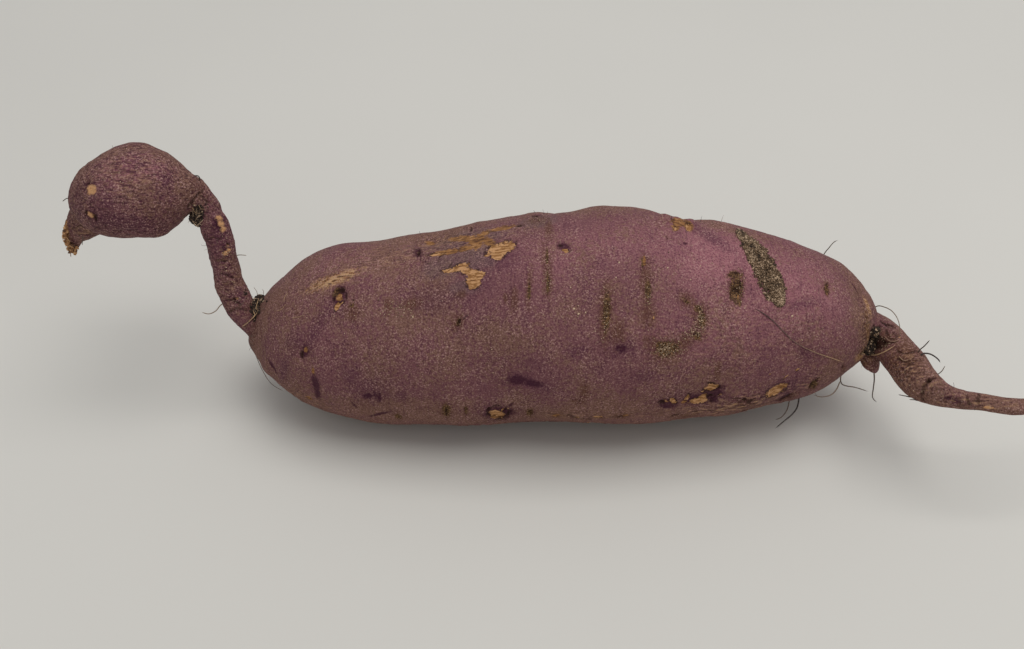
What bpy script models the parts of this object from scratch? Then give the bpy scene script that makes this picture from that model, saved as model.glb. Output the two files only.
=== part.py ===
"""A sweet potato as dug: a thick body, a thin hooked neck with a small bulb and beak, a bent tail.

Everything that grew is one solid, sweet_potato. Dried soil still clings to it in four places, each
its own solid. The origin is on the table under the body, where the body has a small flat spot.
+X runs along the body towards the tail, +Y points to the back and +Z up.
"""
import math

import bpy
import numpy as np

MM = 0.001

# Each list runs along one grown form. A row holds x, y, z of its middle line and its radius, in mm.
BODY = [(-101.2, 1, 23.4, 0), (-100, 1, 23.8, 5.2), (-97.4, 0.6, 24.2, 9.8), (-94, 0.2, 24.7, 14.1),
        (-90, 0, 25.2, 17.8), (-83.5, 0, 25.9, 22.7), (-77, 0, 26.4, 25.8), (-70, -0.6, 26.9, 27.7),
        (-60, -1.6, 27.7, 28.8), (-50, -2.5, 28.5, 29.7), (-39, -2.6, 29.5, 30.7),
        (-26.5, -1.7, 31, 32.1), (-14, -1, 31.8, 32.9), (-1, -0.5, 32.2, 33.3), (11.5, 0, 32.8, 34),
        (24, 0, 32.5, 33.6), (33, 0, 31.9, 32.6), (41, 0, 30.9, 31.3), (50, 0, 30.6, 30.5),
        (62, 0, 30.5, 27.8), (74, 0, 30.2, 24.6), (81, 0, 30.3, 21.8), (87.5, 0, 30.5, 17.8),
        (93.5, 0, 30.3, 12.6), (97.6, 0, 29.8, 7.2), (99, 0, 29.8, 3.4), (99.4, 0, 29.8, 0)]
BULB = [(-150.4, 12, 68.6, 0), (-149.8, 12, 68.7, 3.6), (-148.2, 12, 68.9, 6.6), (-145.6, 12, 69.5, 9.2),
        (-143, 12, 70.1, 10.9), (-140.3, 12, 70.7, 12.2), (-136, 12, 71.6, 13.6), (-131, 12, 72.1, 14.1),
        (-126, 12, 72, 13.8), (-121.5, 12, 71.6, 12.5), (-119, 12, 71.5, 11.1), (-116.5, 12, 71.5, 9.1),
        (-114, 11.8, 71.5, 6.8), (-111.5, 11.5, 71.3, 4.4), (-109.5, 11, 70.7, 2.2),
        (-108.6, 11, 70.4, 0)]
BEAK = [(-140, 12, 67.8, 0), (-141.5, 12, 66.6, 6.4), (-144.5, 12, 63.8, 6.6), (-148.3, 12, 60.4, 5.6),
        (-151.4, 12, 57.2, 4.3), (-153.2, 12, 54.2, 3.3), (-154.2, 12, 51.4, 2.3),
        (-154.9, 12, 49.2, 1.3), (-155.1, 12, 48.4, 0)]
NECK = [(-91, 0, 25.8, 0), (-92.5, 0, 26.8, 4.4), (-96.4, 0.2, 30, 4.7), (-99.8, 1, 33.2, 4.6),
        (-102.5, 2.2, 37.1, 4.5), (-104.6, 4, 42.7, 4.35), (-105.8, 6, 49.6, 4.3),
        (-106.7, 8, 56.4, 4.3), (-107.9, 10, 62.6, 4.3), (-110.2, 11.5, 67.7, 4.5),
        (-114, 12, 70.6, 4.8), (-119, 12, 71.4, 4.6), (-121, 12, 71.4, 0)]
TAIL = [(88, 2, 29.8, 0), (89.5, 1.5, 29.8, 4.8), (94.5, -0.5, 29.8, 5.2), (98.4, -5.2, 30.4, 5.4),
        (100.5, -11.5, 31.4, 5.75), (101.9, -19, 32.5, 5.85), (103, -26.5, 33.6, 5.65),
        (104.3, -32.4, 34.5, 5.1), (106.5, -35.7, 34.8, 4.2), (109.2, -37.4, 34.6, 3.5),
        (114.3, -39, 34.7, 2.9), (122.9, -41.1, 34.8, 2.45), (130.7, -41.6, 34.4, 2.15),
        (139.5, -40.2, 33.4, 1.8), (148, -38.2, 31.8, 1.4), (155.5, -36.8, 29.8, 1),
        (161, -36.5, 28, 0.6), (162.2, -36.5, 27.6, 0)]
STUB = [(94.5, -8, 28.8, 0), (94.8, -9, 27.8, 2.4), (95.6, -11, 25.4, 3), (96.8, -12.5, 23, 2.6),
        (97.8, -13.5, 21.2, 1.3), (98.1, -14, 20.6, 0)]

# Rings along each form and sides round it.
BODY_RINGS, BODY_SIDES = 66, 42
BULB_RINGS, BULB_SIDES = 24, 26
BEAK_RINGS, BEAK_SIDES = 12, 14
NECK_RINGS, NECK_SIDES = 24, 14
TAIL_RINGS, TAIL_SIDES = 44, 14
STUB_RINGS, STUB_SIDES = 8, 10

# Single marks on the body: x, angle from the top towards the back in degrees, half length along x,
# half length round the body, and height (minus is a hollow), in mm.
MARKS = [(35, 35, 5.5, 10, -1.9), (26, 38, 7, 9, 0.7), (-8.5, 36, 5, 8, 1.0), (-68, -29, 3, 5, -1.2),
         (48.5, -30, 3, 6, -1.6), (77, -24, 2.6, 3.6, -1.1), (-78.8, -63, 2.4, 3, -0.9),
         (-30, -4, 12, 7, -0.5), (-21, -105, 4.5, 3, 0.5), (40, -97, 6, 3, -0.6), (63, -97, 4, 3, -0.5),
         (-48, 118, 4, 8, -1.3), (12, 150, 5, 7, -1.1), (58, 104, 4, 9, -1.4), (-18, 82, 5, 7, -0.9),
         (84, 70, 4, 5, -0.8)]
# Slow swellings of a form: height in mm, waves along its length, waves round it, and their phase.
BODY_SWELLS = [(0.35, 3.0, 2, 0.7), (0.3, 5.0, 3, 2.1), (0.22, 8.0, 1, 4.0), (0.18, 7.0, 4, 5.2)]
BULB_SWELLS = [(0.3, 1.5, 2, 1.2), (0.22, 2.5, 3, 3.9)]
THIN_SWELLS = [(0.18, 3.5, 2, 0.4), (0.14, 7.5, 1, 2.6)]

# Rootlets that stand out of it: the points that each passes, in mm. The first lies inside.
ROOTLETS = [
    [(80.5, 12, 40), (83.1, 15, 45.2), (84.7, 16, 47.4), (86, 17, 48.6), (87.6, 18, 48.9)],
    [(95.5, 2, 30), (98.7, 1.5, 35), (99.4, -3, 38.8), (99.8, -9, 42), (100.6, -13.4, 41.6),
     (101.3, -16.5, 37)],
    [(101.8, -27, 36), (101.3, -30, 42.8), (101.1, -32, 47.6), (101, -34, 51.2)],
    [(102.6, -29, 37), (101.6, -31, 43.2), (102.4, -33, 46.1), (103.6, -35, 47), (105, -37, 46.2)],
    [(86, -10, 27), (87, -14, 21.8), (87, -16, 19.4), (87.6, -18, 18.2), (90.4, -20, 19.8),
     (93.9, -22, 20.4)],
    [(87, -14.6, 21.4), (87, -16.8, 18.6), (85.4, -19, 16.4), (83, -19.4, 15.4), (79.3, -20, 15.8)],
    [(96.9, -12.4, 23.6), (97.9, -14.2, 19.2), (97.8, -16, 16.3), (98, -17, 13), (99.2, -18.6, 12.2)],
    [(74.6, -15, 17), (73.8, -20, 12.8), (71.6, -23.4, 12.2), (68.7, -26, 11.9), (65, -29.6, 12.1)],
    [(72, -15.6, 15), (70.8, -20, 11.2), (68.6, -23, 10.4), (65.8, -25.4, 11.4)],
    [(-105, 3.4, 37), (-109, 2.8, 34.6), (-110.8, 2, 32.8), (-112.9, 1, 32.4), (-114.7, 0, 34)],
    [(-104.2, 7.8, 50), (-101.6, 8, 50.7), (-98.7, 6.4, 51.8)],
    [(-114.6, 12, 72), (-110.2, 12, 75.6), (-109.9, 12, 77.4), (-111.4, 12, 77.7)],
    [(104.5, -31, 31), (101.6, -31.2, 26.6), (98, -33.2, 28.6)],
]
ROOTLET_RADIUS = 0.42
ROOTLET_TIP = 0.3
ROOTLET_SIDES = 5

# Rootlets on the far side, which grow in loose rows: how many, and the length that each stands out.
BACK_ROOTLETS = 7
BACK_LENGTH = 9.0
BACK_SEED = 11

# Soil: the bands' and clods' places and sizes in mm, and the gap that they keep to the skin.
SOIL_GAP = 0.3
CAKE_ENDS = ((53.6, 9.0), (62.6, -36.0))
CAKE_HALF_WIDTH = 4.2
CAKE_HEIGHT = 1.5
CLODS = {
    "neck_soil": [(-97.4, 1.6, 35.2, 2.6), (-96.2, 4.6, 36.6, 2.2), (-97.4, -1.4, 33.2, 2.3)],
    "crook_soil": [(-111.6, 8.8, 65.4, 2.7), (-113.8, 9.2, 62.6, 2), (-113.4, 7.2, 61.6, 1.6)],
    "tail_soil": [(95.6, -9.6, 31.2, 2.7), (94.2, -12.4, 30.2, 2.1), (96.2, -10.4, 34.2, 1.9)],
}
CLOD_ROUGHNESS = 0.16

SKIN_COLOUR = (0.2, 0.095, 0.1, 1)
SOIL_COLOUR = (0.14, 0.115, 0.07, 1)


def clear_scene():
    """Remove whatever the file holds."""
    for thing in list(bpy.data.objects):
        bpy.data.objects.remove(thing)


def finish(name, colour, roughness):
    """A plain finish of one colour."""
    material = bpy.data.materials.new(name)
    material.use_nodes = True
    shader = material.node_tree.nodes["Principled BSDF"]
    shader.inputs["Base Color"].default_value = colour
    shader.inputs["Roughness"].default_value = roughness
    shader.inputs["Metallic"].default_value = 0.0
    return material


def smooth_line(stations, steps=12):
    """A Catmull-Rom curve through the stations: x, y, z and radius together."""
    points = np.asarray(stations, float)
    line = np.vstack([2 * points[0] - points[1], points, 2 * points[-1] - points[-2]])
    t = np.linspace(0, 1, steps, endpoint=False)[:, None]
    spans = []
    for a, b, c, d in zip(line, line[1:], line[2:], line[3:]):
        spans.append(0.5 * (2 * b + (c - a) * t + (2 * a - 5 * b + 4 * c - d) * t ** 2
                            + (3 * b - a - 3 * c + d) * t ** 3))
    return np.vstack(spans + [points[-1:]])


def evenly(line, count):
    """The same curve at equal steps, measured over place and radius together."""
    steps = np.sqrt((np.diff(line, axis=0) ** 2).sum(axis=1))
    run = np.concatenate([[0], np.cumsum(steps)])
    places = np.linspace(0, run[-1], count)
    return np.stack([np.interp(places, run, column) for column in line.T], axis=-1)


def ring_axes(middle, side, along=None):
    """Two directions across the line at each ring, the second as near to side as it goes."""
    tangent = np.gradient(middle, axis=0) if along is None else np.tile(along, (len(middle), 1))
    tangent = tangent / np.linalg.norm(tangent, axis=1)[:, None]
    side = np.asarray(side, float)
    second = side - (tangent @ side)[:, None] * tangent
    second = second / np.linalg.norm(second, axis=1)[:, None]
    return np.cross(tangent, second), second


def swells(waves, share, angle):
    """Sum of sines along the length and round it, in mm."""
    height = np.zeros(np.broadcast(share, angle).shape)
    for size, along, round_it, phase in waves:
        height += size * np.sin(2 * np.pi * along * share + round_it * angle + phase)
    return height


def marks(x, angle, radius):
    """Bell-shaped hollows and bumps on the body, in mm."""
    height = np.zeros(np.broadcast(x, angle).shape)
    for place, degrees, half_x, half_round, size in MARKS:
        turn = (angle - math.radians(degrees) + np.pi) % (2 * np.pi) - np.pi
        height += size * np.exp(-((x - place) / half_x) ** 2 - (turn * radius / half_round) ** 2)
    return height


def skin(name, stations, count, sides, side=(0, 1, 0), along=None, waves=(), marked=False, swell=0.0):
    """Carry a ring along the stations' curve and close it with a point at each end.

    A ring's point is middle + radius * (cos(angle) * first + sin(angle) * second), where the radius
    has the swellings and marks added and fades to nothing at the ends with the form itself.
    """
    line = evenly(smooth_line(stations), count)
    middle, radius = line[:, :3], line[:, 3]
    first, second = ring_axes(middle, side, along)
    angle = np.linspace(0, 2 * np.pi, sides, endpoint=False)[None, :]
    share = np.linspace(0, 1, count)[:, None]
    fade = np.minimum(1, radius / (0.35 * radius.max()))[:, None]
    height = swells(waves, share, angle) * fade
    if marked:
        height += marks(middle[:, :1], angle, radius[:, None]) * fade
    reach = radius[:, None] + height + swell
    points = (middle[:, None] + (np.cos(angle) * reach)[..., None] * first[:, None]
              + (np.sin(angle) * reach)[..., None] * second[:, None])
    inner = points[1:-1].reshape(-1, 3)
    push = (middle[0] - middle[1], middle[-1] - middle[-2])
    poles = [end + swell * way / np.linalg.norm(way) for end, way in zip((middle[0], middle[-1]), push)]
    vertices = np.vstack([inner, poles])
    vertices[:, 2] = np.maximum(vertices[:, 2], 0 if swell == 0 else -swell)
    return mesh_object(name, vertices, ring_faces(count - 2, sides))


def ring_faces(count, sides):
    """Quads between neighbouring rings, and a fan of triangles at each end's point."""
    ring = np.arange(sides)
    following = (ring + 1) % sides
    start = (np.arange(count - 1) * sides)[:, None]
    quads = np.stack([start + ring, start + sides + ring, start + sides + following,
                      start + following], axis=-1).reshape(-1, 4)
    last = (count - 1) * sides
    near = np.stack([np.full(sides, count * sides), ring, following], axis=-1)
    far = np.stack([np.full(sides, count * sides + 1), last + following, last + ring], axis=-1)
    return quads.tolist() + near.tolist() + far.tolist()


def mesh_object(name, points, faces):
    """An object whose points are given in mm."""
    mesh = bpy.data.meshes.new(name)
    mesh.from_pydata((np.asarray(points) * MM).tolist(), [], faces)
    thing = bpy.data.objects.new(name, mesh)
    bpy.context.scene.collection.objects.link(thing)
    return thing


def grown_forms(swell=0.0):
    """The six thick forms. A swell makes them all larger by that many mm."""
    x_axis = (1, 0, 0)
    return [
        skin("body form", BODY, BODY_RINGS, BODY_SIDES, along=x_axis, waves=BODY_SWELLS, marked=True,
             swell=swell),
        skin("bulb form", BULB, BULB_RINGS, BULB_SIDES, along=x_axis, waves=BULB_SWELLS, swell=swell),
        skin("beak form", BEAK, BEAK_RINGS, BEAK_SIDES, swell=swell),
        skin("neck form", NECK, NECK_RINGS, NECK_SIDES, waves=THIN_SWELLS, swell=swell),
        skin("tail form", TAIL, TAIL_RINGS, TAIL_SIDES, side=(0, 0, 1), waves=THIN_SWELLS, swell=swell),
        skin("stub form", STUB, STUB_RINGS, STUB_SIDES, swell=swell),
    ]


def rootlet(name, places):
    """A thin tapering root through its places."""
    spread = np.linspace(ROOTLET_RADIUS, ROOTLET_TIP, len(places))
    stations = [(*place, radius) for place, radius in zip(places, spread)]
    chord = np.subtract(places[-1], places[0])
    side = np.cross(chord, (0.2, 0.5, 1))
    return skin(name, stations, 2 * len(places) + 1, ROOTLET_SIDES, side=side / np.linalg.norm(side))


def back_places():
    """Seeded places on the far side: each rootlet leaves the skin, rises a little and bends along it."""
    rng = np.random.default_rng(BACK_SEED)
    line = smooth_line(BODY)
    for number in range(BACK_ROOTLETS):
        x = -78 + 160 * (number + rng.uniform(0.2, 0.8)) / BACK_ROOTLETS
        angle = math.radians(rng.uniform(62, 118))
        y, z, radius = (np.interp(x, line[:, 0], line[:, column]) for column in (1, 2, 3))
        out = np.array([0, math.sin(angle), math.cos(angle)])
        lean = np.array([rng.uniform(-0.8, 0.8), 0, rng.uniform(-0.3, 0.5)])
        base = np.array([x, y, z]) + out * (radius - 3)
        way = [0, 4.5, 4.5 + 0.3 * BACK_LENGTH, 4.5 + 0.45 * BACK_LENGTH]
        slide = [0, 0.4, 0.45 * BACK_LENGTH, BACK_LENGTH]
        yield [tuple(base + out * far + lean * along) for far, along in zip(way, slide)]


def combine(target, others, operation):
    """Apply one exact Boolean of several objects to the target, then remove them."""
    group = bpy.data.collections.new("operands")
    for other in others:
        group.objects.link(other)
    boolean = target.modifiers.new("combine", "BOOLEAN")
    boolean.operation = operation
    boolean.operand_type = "COLLECTION"
    boolean.collection = group
    boolean.solver = "EXACT"
    evaluated = target.evaluated_get(bpy.context.evaluated_depsgraph_get())
    mesh = bpy.data.meshes.new_from_object(evaluated)
    target.modifiers.clear()
    target.data = mesh
    for other in others:
        bpy.data.objects.remove(other)
    bpy.data.collections.remove(group)
    return target


def dress(thing, name, material):
    """Name a finished piece, give it its material and round its shading."""
    thing.name = name
    thing.data.name = name
    thing.data.materials.clear()
    thing.data.materials.append(material)
    thing.data.shade_smooth()
    thing.data.set_sharp_from_angle(angle=math.radians(50))


def make_tuber():
    """Body, bulb, beak, neck, tail, stub and rootlets, grown together as one solid."""
    forms = grown_forms()
    forms += [rootlet(f"rootlet {number}", places) for number, places in enumerate(ROOTLETS)]
    forms += [rootlet(f"far rootlet {number}", places) for number, places in enumerate(back_places())]
    tuber = combine(forms[0], forms[1:], "UNION")
    dress(tuber, "sweet_potato", finish("skin", SKIN_COLOUR, 0.75))


def make_cake():
    """A crust of dried soil over the body's shoulder: a flat tube with a ragged rim, cut to the skin."""
    count, sides = 22, 16
    line = smooth_line(BODY)
    share = np.linspace(0, 1, count)
    x = CAKE_ENDS[0][0] + share * (CAKE_ENDS[1][0] - CAKE_ENDS[0][0])
    turn = np.radians(CAKE_ENDS[0][1] + share * (CAKE_ENDS[1][1] - CAKE_ENDS[0][1]))
    y, z, radius = (np.interp(x, line[:, 0], line[:, column]) for column in (1, 2, 3))
    out = np.stack([0 * turn, np.sin(turn), np.cos(turn)], axis=-1)
    middle = np.stack([x, y, z], axis=-1) + out * radius[:, None]
    across = np.cross(np.gradient(middle, axis=0), out)
    across = across / np.linalg.norm(across, axis=1)[:, None]
    angle = np.linspace(0, 2 * np.pi, sides, endpoint=False)[None, :]
    taper = np.sqrt(np.sin(np.pi * np.clip(share, 0, 1)))[:, None]
    ragged = 1 + 0.18 * np.sin(23 * share[:, None] + 2 * angle) + 0.12 * np.sin(41 * share[:, None] - angle)
    width = CAKE_HALF_WIDTH * taper * ragged
    height = CAKE_HEIGHT * np.sqrt(taper) * (1 + 0.15 * np.sin(31 * share[:, None] + 3 * angle))
    points = (middle[:, None] + (np.cos(angle) * width)[..., None] * -across[:, None]
              + (np.sin(angle) * height)[..., None] * out[:, None])
    vertices = np.vstack([points[1:-1].reshape(-1, 3), middle[:1], middle[-1:]])
    cake = mesh_object("soil_cake", vertices, ring_faces(count - 2, sides))
    combine(cake, grown_forms(SOIL_GAP), "DIFFERENCE")
    keep_largest(cake)
    dress(cake, "soil_cake", finish("cake soil", SOIL_COLOUR, 0.95))


def clod(name, places):
    """Uneven lumps run together, then cut back to leave a gap to the skin."""
    lumps = []
    for number, (x, y, z, radius) in enumerate(places):
        bpy.ops.mesh.primitive_ico_sphere_add(subdivisions=2, radius=radius * MM)
        lump = bpy.context.object
        count = len(lump.data.vertices)
        points = np.empty(count * 3)
        lump.data.vertices.foreach_get("co", points)
        points = points.reshape(-1, 3)
        wave = np.sin(points @ (2.1, 1.3, 1.7) / MM + number) + np.sin(points @ (-1.2, 2.3, 0.9) / MM)
        points = points * (1 + CLOD_ROUGHNESS * wave)[:, None] + np.array([x, y, z]) * MM
        lump.data.vertices.foreach_set("co", points.ravel())
        lumps.append(lump)
    combine(lumps[0], lumps[1:], "UNION")
    combine(lumps[0], grown_forms(SOIL_GAP), "DIFFERENCE")
    keep_largest(lumps[0])
    dress(lumps[0], name, finish(name.replace("_", " "), SOIL_COLOUR, 0.95))


def keep_largest(thing):
    """Drop the scraps that a cut leaves, and keep the piece with the most faces."""
    mesh = thing.data
    owner = np.arange(len(mesh.vertices))
    ends = np.empty(len(mesh.edges) * 2, int)
    mesh.edges.foreach_get("vertices", ends)
    ends = ends.reshape(-1, 2)
    while True:
        lowest = np.minimum(owner[ends[:, 0]], owner[ends[:, 1]])
        before = owner.copy()
        np.minimum.at(owner, ends[:, 0], lowest)
        np.minimum.at(owner, ends[:, 1], lowest)
        if (owner == before).all():
            break
    names, sizes = np.unique(owner, return_counts=True)
    kept = owner == names[sizes.argmax()]
    points = np.empty(len(mesh.vertices) * 3)
    mesh.vertices.foreach_get("co", points)
    fresh = np.cumsum(kept) - 1
    faces = [[int(fresh[v]) for v in face.vertices] for face in mesh.polygons if kept[face.vertices[0]]]
    thing.data = bpy.data.meshes.new(mesh.name)
    thing.data.from_pydata(points.reshape(-1, 3)[kept].tolist(), [], faces)


def main():
    clear_scene()
    make_tuber()
    make_cake()
    for name, places in CLODS.items():
        clod(name, places)


main()
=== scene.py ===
"""The looks of a freshly dug sweet potato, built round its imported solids.

Lengths in the shape functions are in millimetres, and MM turns them into Blender's metres. Marks that
the reference picture shows are given by their place on that picture, in pixels of its 1024 x 649 frame,
and are laid on the skin along the camera's rays, so they sit on the skin from any side.
"""

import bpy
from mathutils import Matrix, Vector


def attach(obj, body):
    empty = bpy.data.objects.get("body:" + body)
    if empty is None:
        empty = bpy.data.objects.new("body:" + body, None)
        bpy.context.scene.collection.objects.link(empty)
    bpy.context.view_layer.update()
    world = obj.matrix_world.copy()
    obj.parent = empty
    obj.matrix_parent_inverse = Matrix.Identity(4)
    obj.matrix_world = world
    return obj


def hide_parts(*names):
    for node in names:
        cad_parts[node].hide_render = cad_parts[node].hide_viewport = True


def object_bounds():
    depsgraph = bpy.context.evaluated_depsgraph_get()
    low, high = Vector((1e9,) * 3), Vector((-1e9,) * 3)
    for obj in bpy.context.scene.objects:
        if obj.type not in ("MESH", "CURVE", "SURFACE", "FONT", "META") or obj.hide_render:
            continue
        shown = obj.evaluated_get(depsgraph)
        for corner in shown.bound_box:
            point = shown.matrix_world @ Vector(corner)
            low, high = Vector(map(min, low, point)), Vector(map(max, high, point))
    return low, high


bl_info = {
    "name": "Dug Sweet Potato",
    "version": (1, 0, 0),
    "blender": (4, 5, 0),
    "location": "3D View > Sidebar > Sweet Potato",
    "description": "Builds a sweet potato's skin, rootlets, torn tip and clinging soil",
    "category": "Add Mesh",
}

import math
from itertools import combinations

import bpy
import numpy as np
from bpy.props import FloatProperty, FloatVectorProperty, IntProperty, PointerProperty
from mathutils import Vector
from mathutils.bvhtree import BVHTree

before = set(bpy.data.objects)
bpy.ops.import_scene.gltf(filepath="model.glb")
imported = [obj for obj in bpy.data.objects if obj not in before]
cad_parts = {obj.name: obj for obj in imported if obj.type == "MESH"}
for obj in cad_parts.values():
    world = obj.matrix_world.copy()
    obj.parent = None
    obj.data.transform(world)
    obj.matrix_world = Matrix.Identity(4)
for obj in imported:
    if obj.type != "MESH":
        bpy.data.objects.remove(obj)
CAD_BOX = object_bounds()

MM = 0.001

# The grown forms, as in the part: x, y, z of the middle line and the radius there, in mm.
BODY = [(-101.2, 1, 23.4, 0), (-100, 1, 23.8, 5.2), (-97.4, 0.6, 24.2, 9.8), (-94, 0.2, 24.7, 14.1),
        (-90, 0, 25.2, 17.8), (-83.5, 0, 25.9, 22.7), (-77, 0, 26.4, 25.8), (-70, -0.6, 26.9, 27.7),
        (-60, -1.6, 27.7, 28.8), (-50, -2.5, 28.5, 29.7), (-39, -2.6, 29.5, 30.7),
        (-26.5, -1.7, 31, 32.1), (-14, -1, 31.8, 32.9), (-1, -0.5, 32.2, 33.3), (11.5, 0, 32.8, 34),
        (24, 0, 32.5, 33.6), (33, 0, 31.9, 32.6), (41, 0, 30.9, 31.3), (50, 0, 30.6, 30.5),
        (62, 0, 30.5, 27.8), (74, 0, 30.2, 24.6), (81, 0, 30.3, 21.8), (87.5, 0, 30.5, 17.8),
        (93.5, 0, 30.3, 12.6), (97.6, 0, 29.8, 7.2), (99, 0, 29.8, 3.4), (99.4, 0, 29.8, 0)]
BULB = [(-150.4, 12, 68.6, 0), (-149.8, 12, 68.7, 3.6), (-148.2, 12, 68.9, 6.6), (-145.6, 12, 69.5, 9.2),
        (-143, 12, 70.1, 10.9), (-140.3, 12, 70.7, 12.2), (-136, 12, 71.6, 13.6), (-131, 12, 72.1, 14.1),
        (-126, 12, 72, 13.8), (-121.5, 12, 71.6, 12.5), (-119, 12, 71.5, 11.1), (-116.5, 12, 71.5, 9.1),
        (-114, 11.8, 71.5, 6.8), (-111.5, 11.5, 71.3, 4.4), (-109.5, 11, 70.7, 2.2),
        (-108.6, 11, 70.4, 0)]
BEAK = [(-140, 12, 67.8, 0), (-141.5, 12, 66.6, 6.4), (-144.5, 12, 63.8, 6.6), (-148.3, 12, 60.5, 5.5),
        (-151.2, 12, 57.4, 4), (-153, 12, 54.4, 2.8), (-154, 12, 51.4, 1.7),
        (-154.6, 12, 49.2, 0.9), (-154.8, 12, 48.4, 0)]
NECK = [(-91, 0, 25.8, 0), (-92.5, 0, 26.8, 4.4), (-96.8, -0.2, 29.6, 5), (-100.6, 0.6, 32.8, 5),
        (-103.3, 2, 36.8, 4.7), (-105.1, 4, 42.7, 4.35), (-105.9, 6, 49.6, 4.3),
        (-106.7, 8, 56.4, 4.3), (-107.9, 10, 62.6, 4.3), (-110.2, 11.5, 67.7, 4.5),
        (-114, 12, 70.6, 4.8), (-119, 12, 71.4, 4.6), (-121, 12, 71.4, 0)]
TAIL = [(88, 2, 29.8, 0), (89.5, 1.5, 29.8, 4.8), (94.5, -0.5, 29.8, 5.2), (98.4, -5.2, 30.4, 5.4),
        (100.5, -11.5, 31.4, 5.75), (101.9, -19, 32.5, 5.85), (103, -26.5, 33.6, 5.65),
        (104.3, -32.4, 34.5, 5.1), (106.5, -35.7, 34.8, 4.2), (109.2, -37.4, 34.6, 3.5),
        (114.3, -39, 34.7, 2.9), (122.9, -41.1, 34.8, 2.45), (130.7, -41.6, 34.4, 2.15),
        (139.5, -40.2, 33.4, 1.8), (148, -38.2, 31.8, 1.4), (155.5, -36.8, 29.8, 1),
        (161, -36.5, 28, 0.6), (162.2, -36.5, 27.6, 0)]
STUB = [(94.5, -8, 28.8, 0), (94.8, -9, 27.8, 2.4), (95.6, -11, 25.4, 3), (96.8, -12.5, 23, 2.6),
        (97.8, -13.5, 21.2, 1.3), (98.1, -14, 20.6, 0)]

# Each form's rings, sides, side direction and, where its rings all face one way, that way.
X_AXIS, Y_AXIS, Z_AXIS = (1, 0, 0), (0, 1, 0), (0, 0, 1)
FORMS = {
    "body": (BODY, 300, 196, Y_AXIS, X_AXIS),
    "bulb": (BULB, 110, 110, Y_AXIS, X_AXIS),
    "beak": (BEAK, 44, 44, Y_AXIS, None),
    "neck": (NECK, 140, 60, Y_AXIS, None),
    "tail": (TAIL, 230, 64, Z_AXIS, None),
    "stub": (STUB, 26, 32, Y_AXIS, None),
}
# Slow swellings, as in the part: height in mm, waves along, waves round, phase.
BODY_SWELLS = [(0.35, 3.0, 2, 0.7), (0.3, 5.0, 3, 2.1), (0.22, 8.0, 1, 4.0), (0.18, 7.0, 4, 5.2)]
BULB_SWELLS = [(0.3, 1.5, 2, 1.2), (0.22, 2.5, 3, 3.9)]
THIN_SWELLS = [(0.18, 3.5, 2, 0.4), (0.14, 7.5, 1, 2.6)]
SWELLS = {"body": BODY_SWELLS, "bulb": BULB_SWELLS, "neck": THIN_SWELLS, "tail": THIN_SWELLS}
# Hollows and bumps of the body, as in the part: x, degrees from the top towards the back, half length
# along x, half length round the body, and height, in mm.
DENTS = [(35, 35, 5.5, 10, -1.9), (26, 38, 7, 9, 0.7), (-8.5, 36, 5, 8, 1.0), (-68, -29, 3, 5, -1.2),
         (48.5, -30, 3, 6, -1.6), (77, -24, 2.6, 3.6, -1.1), (-78.8, -63, 2.4, 3, -0.9),
         (-30, -4, 12, 7, -0.5), (-21, -105, 4.5, 3, 0.5), (40, -97, 6, 3, -0.6), (63, -97, 4, 3, -0.5),
         (-48, 118, 4, 8, -1.3), (12, 150, 5, 7, -1.1), (58, 104, 4, 9, -1.4), (-18, 82, 5, 7, -0.9),
         (84, 70, 4, 5, -0.8)]

# The camera that the picture was taken with.
PICTURE_WIDTH, PICTURE_HEIGHT = 1024, 649
VIEW_ANGLE = math.radians(50)
VIEW_DOWN = math.radians(42)
CAMERA_PLACE = np.array([-16.5, -260.7, 263.5])
FOCAL = PICTURE_WIDTH / 2 / math.tan(VIEW_ANGLE / 2)
RIGHT = np.array([1.0, 0.0, 0.0])
UP = np.array([0.0, math.sin(VIEW_DOWN), math.cos(VIEW_DOWN)])
FORWARD = np.array([0.0, math.cos(VIEW_DOWN), -math.sin(VIEW_DOWN)])

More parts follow.
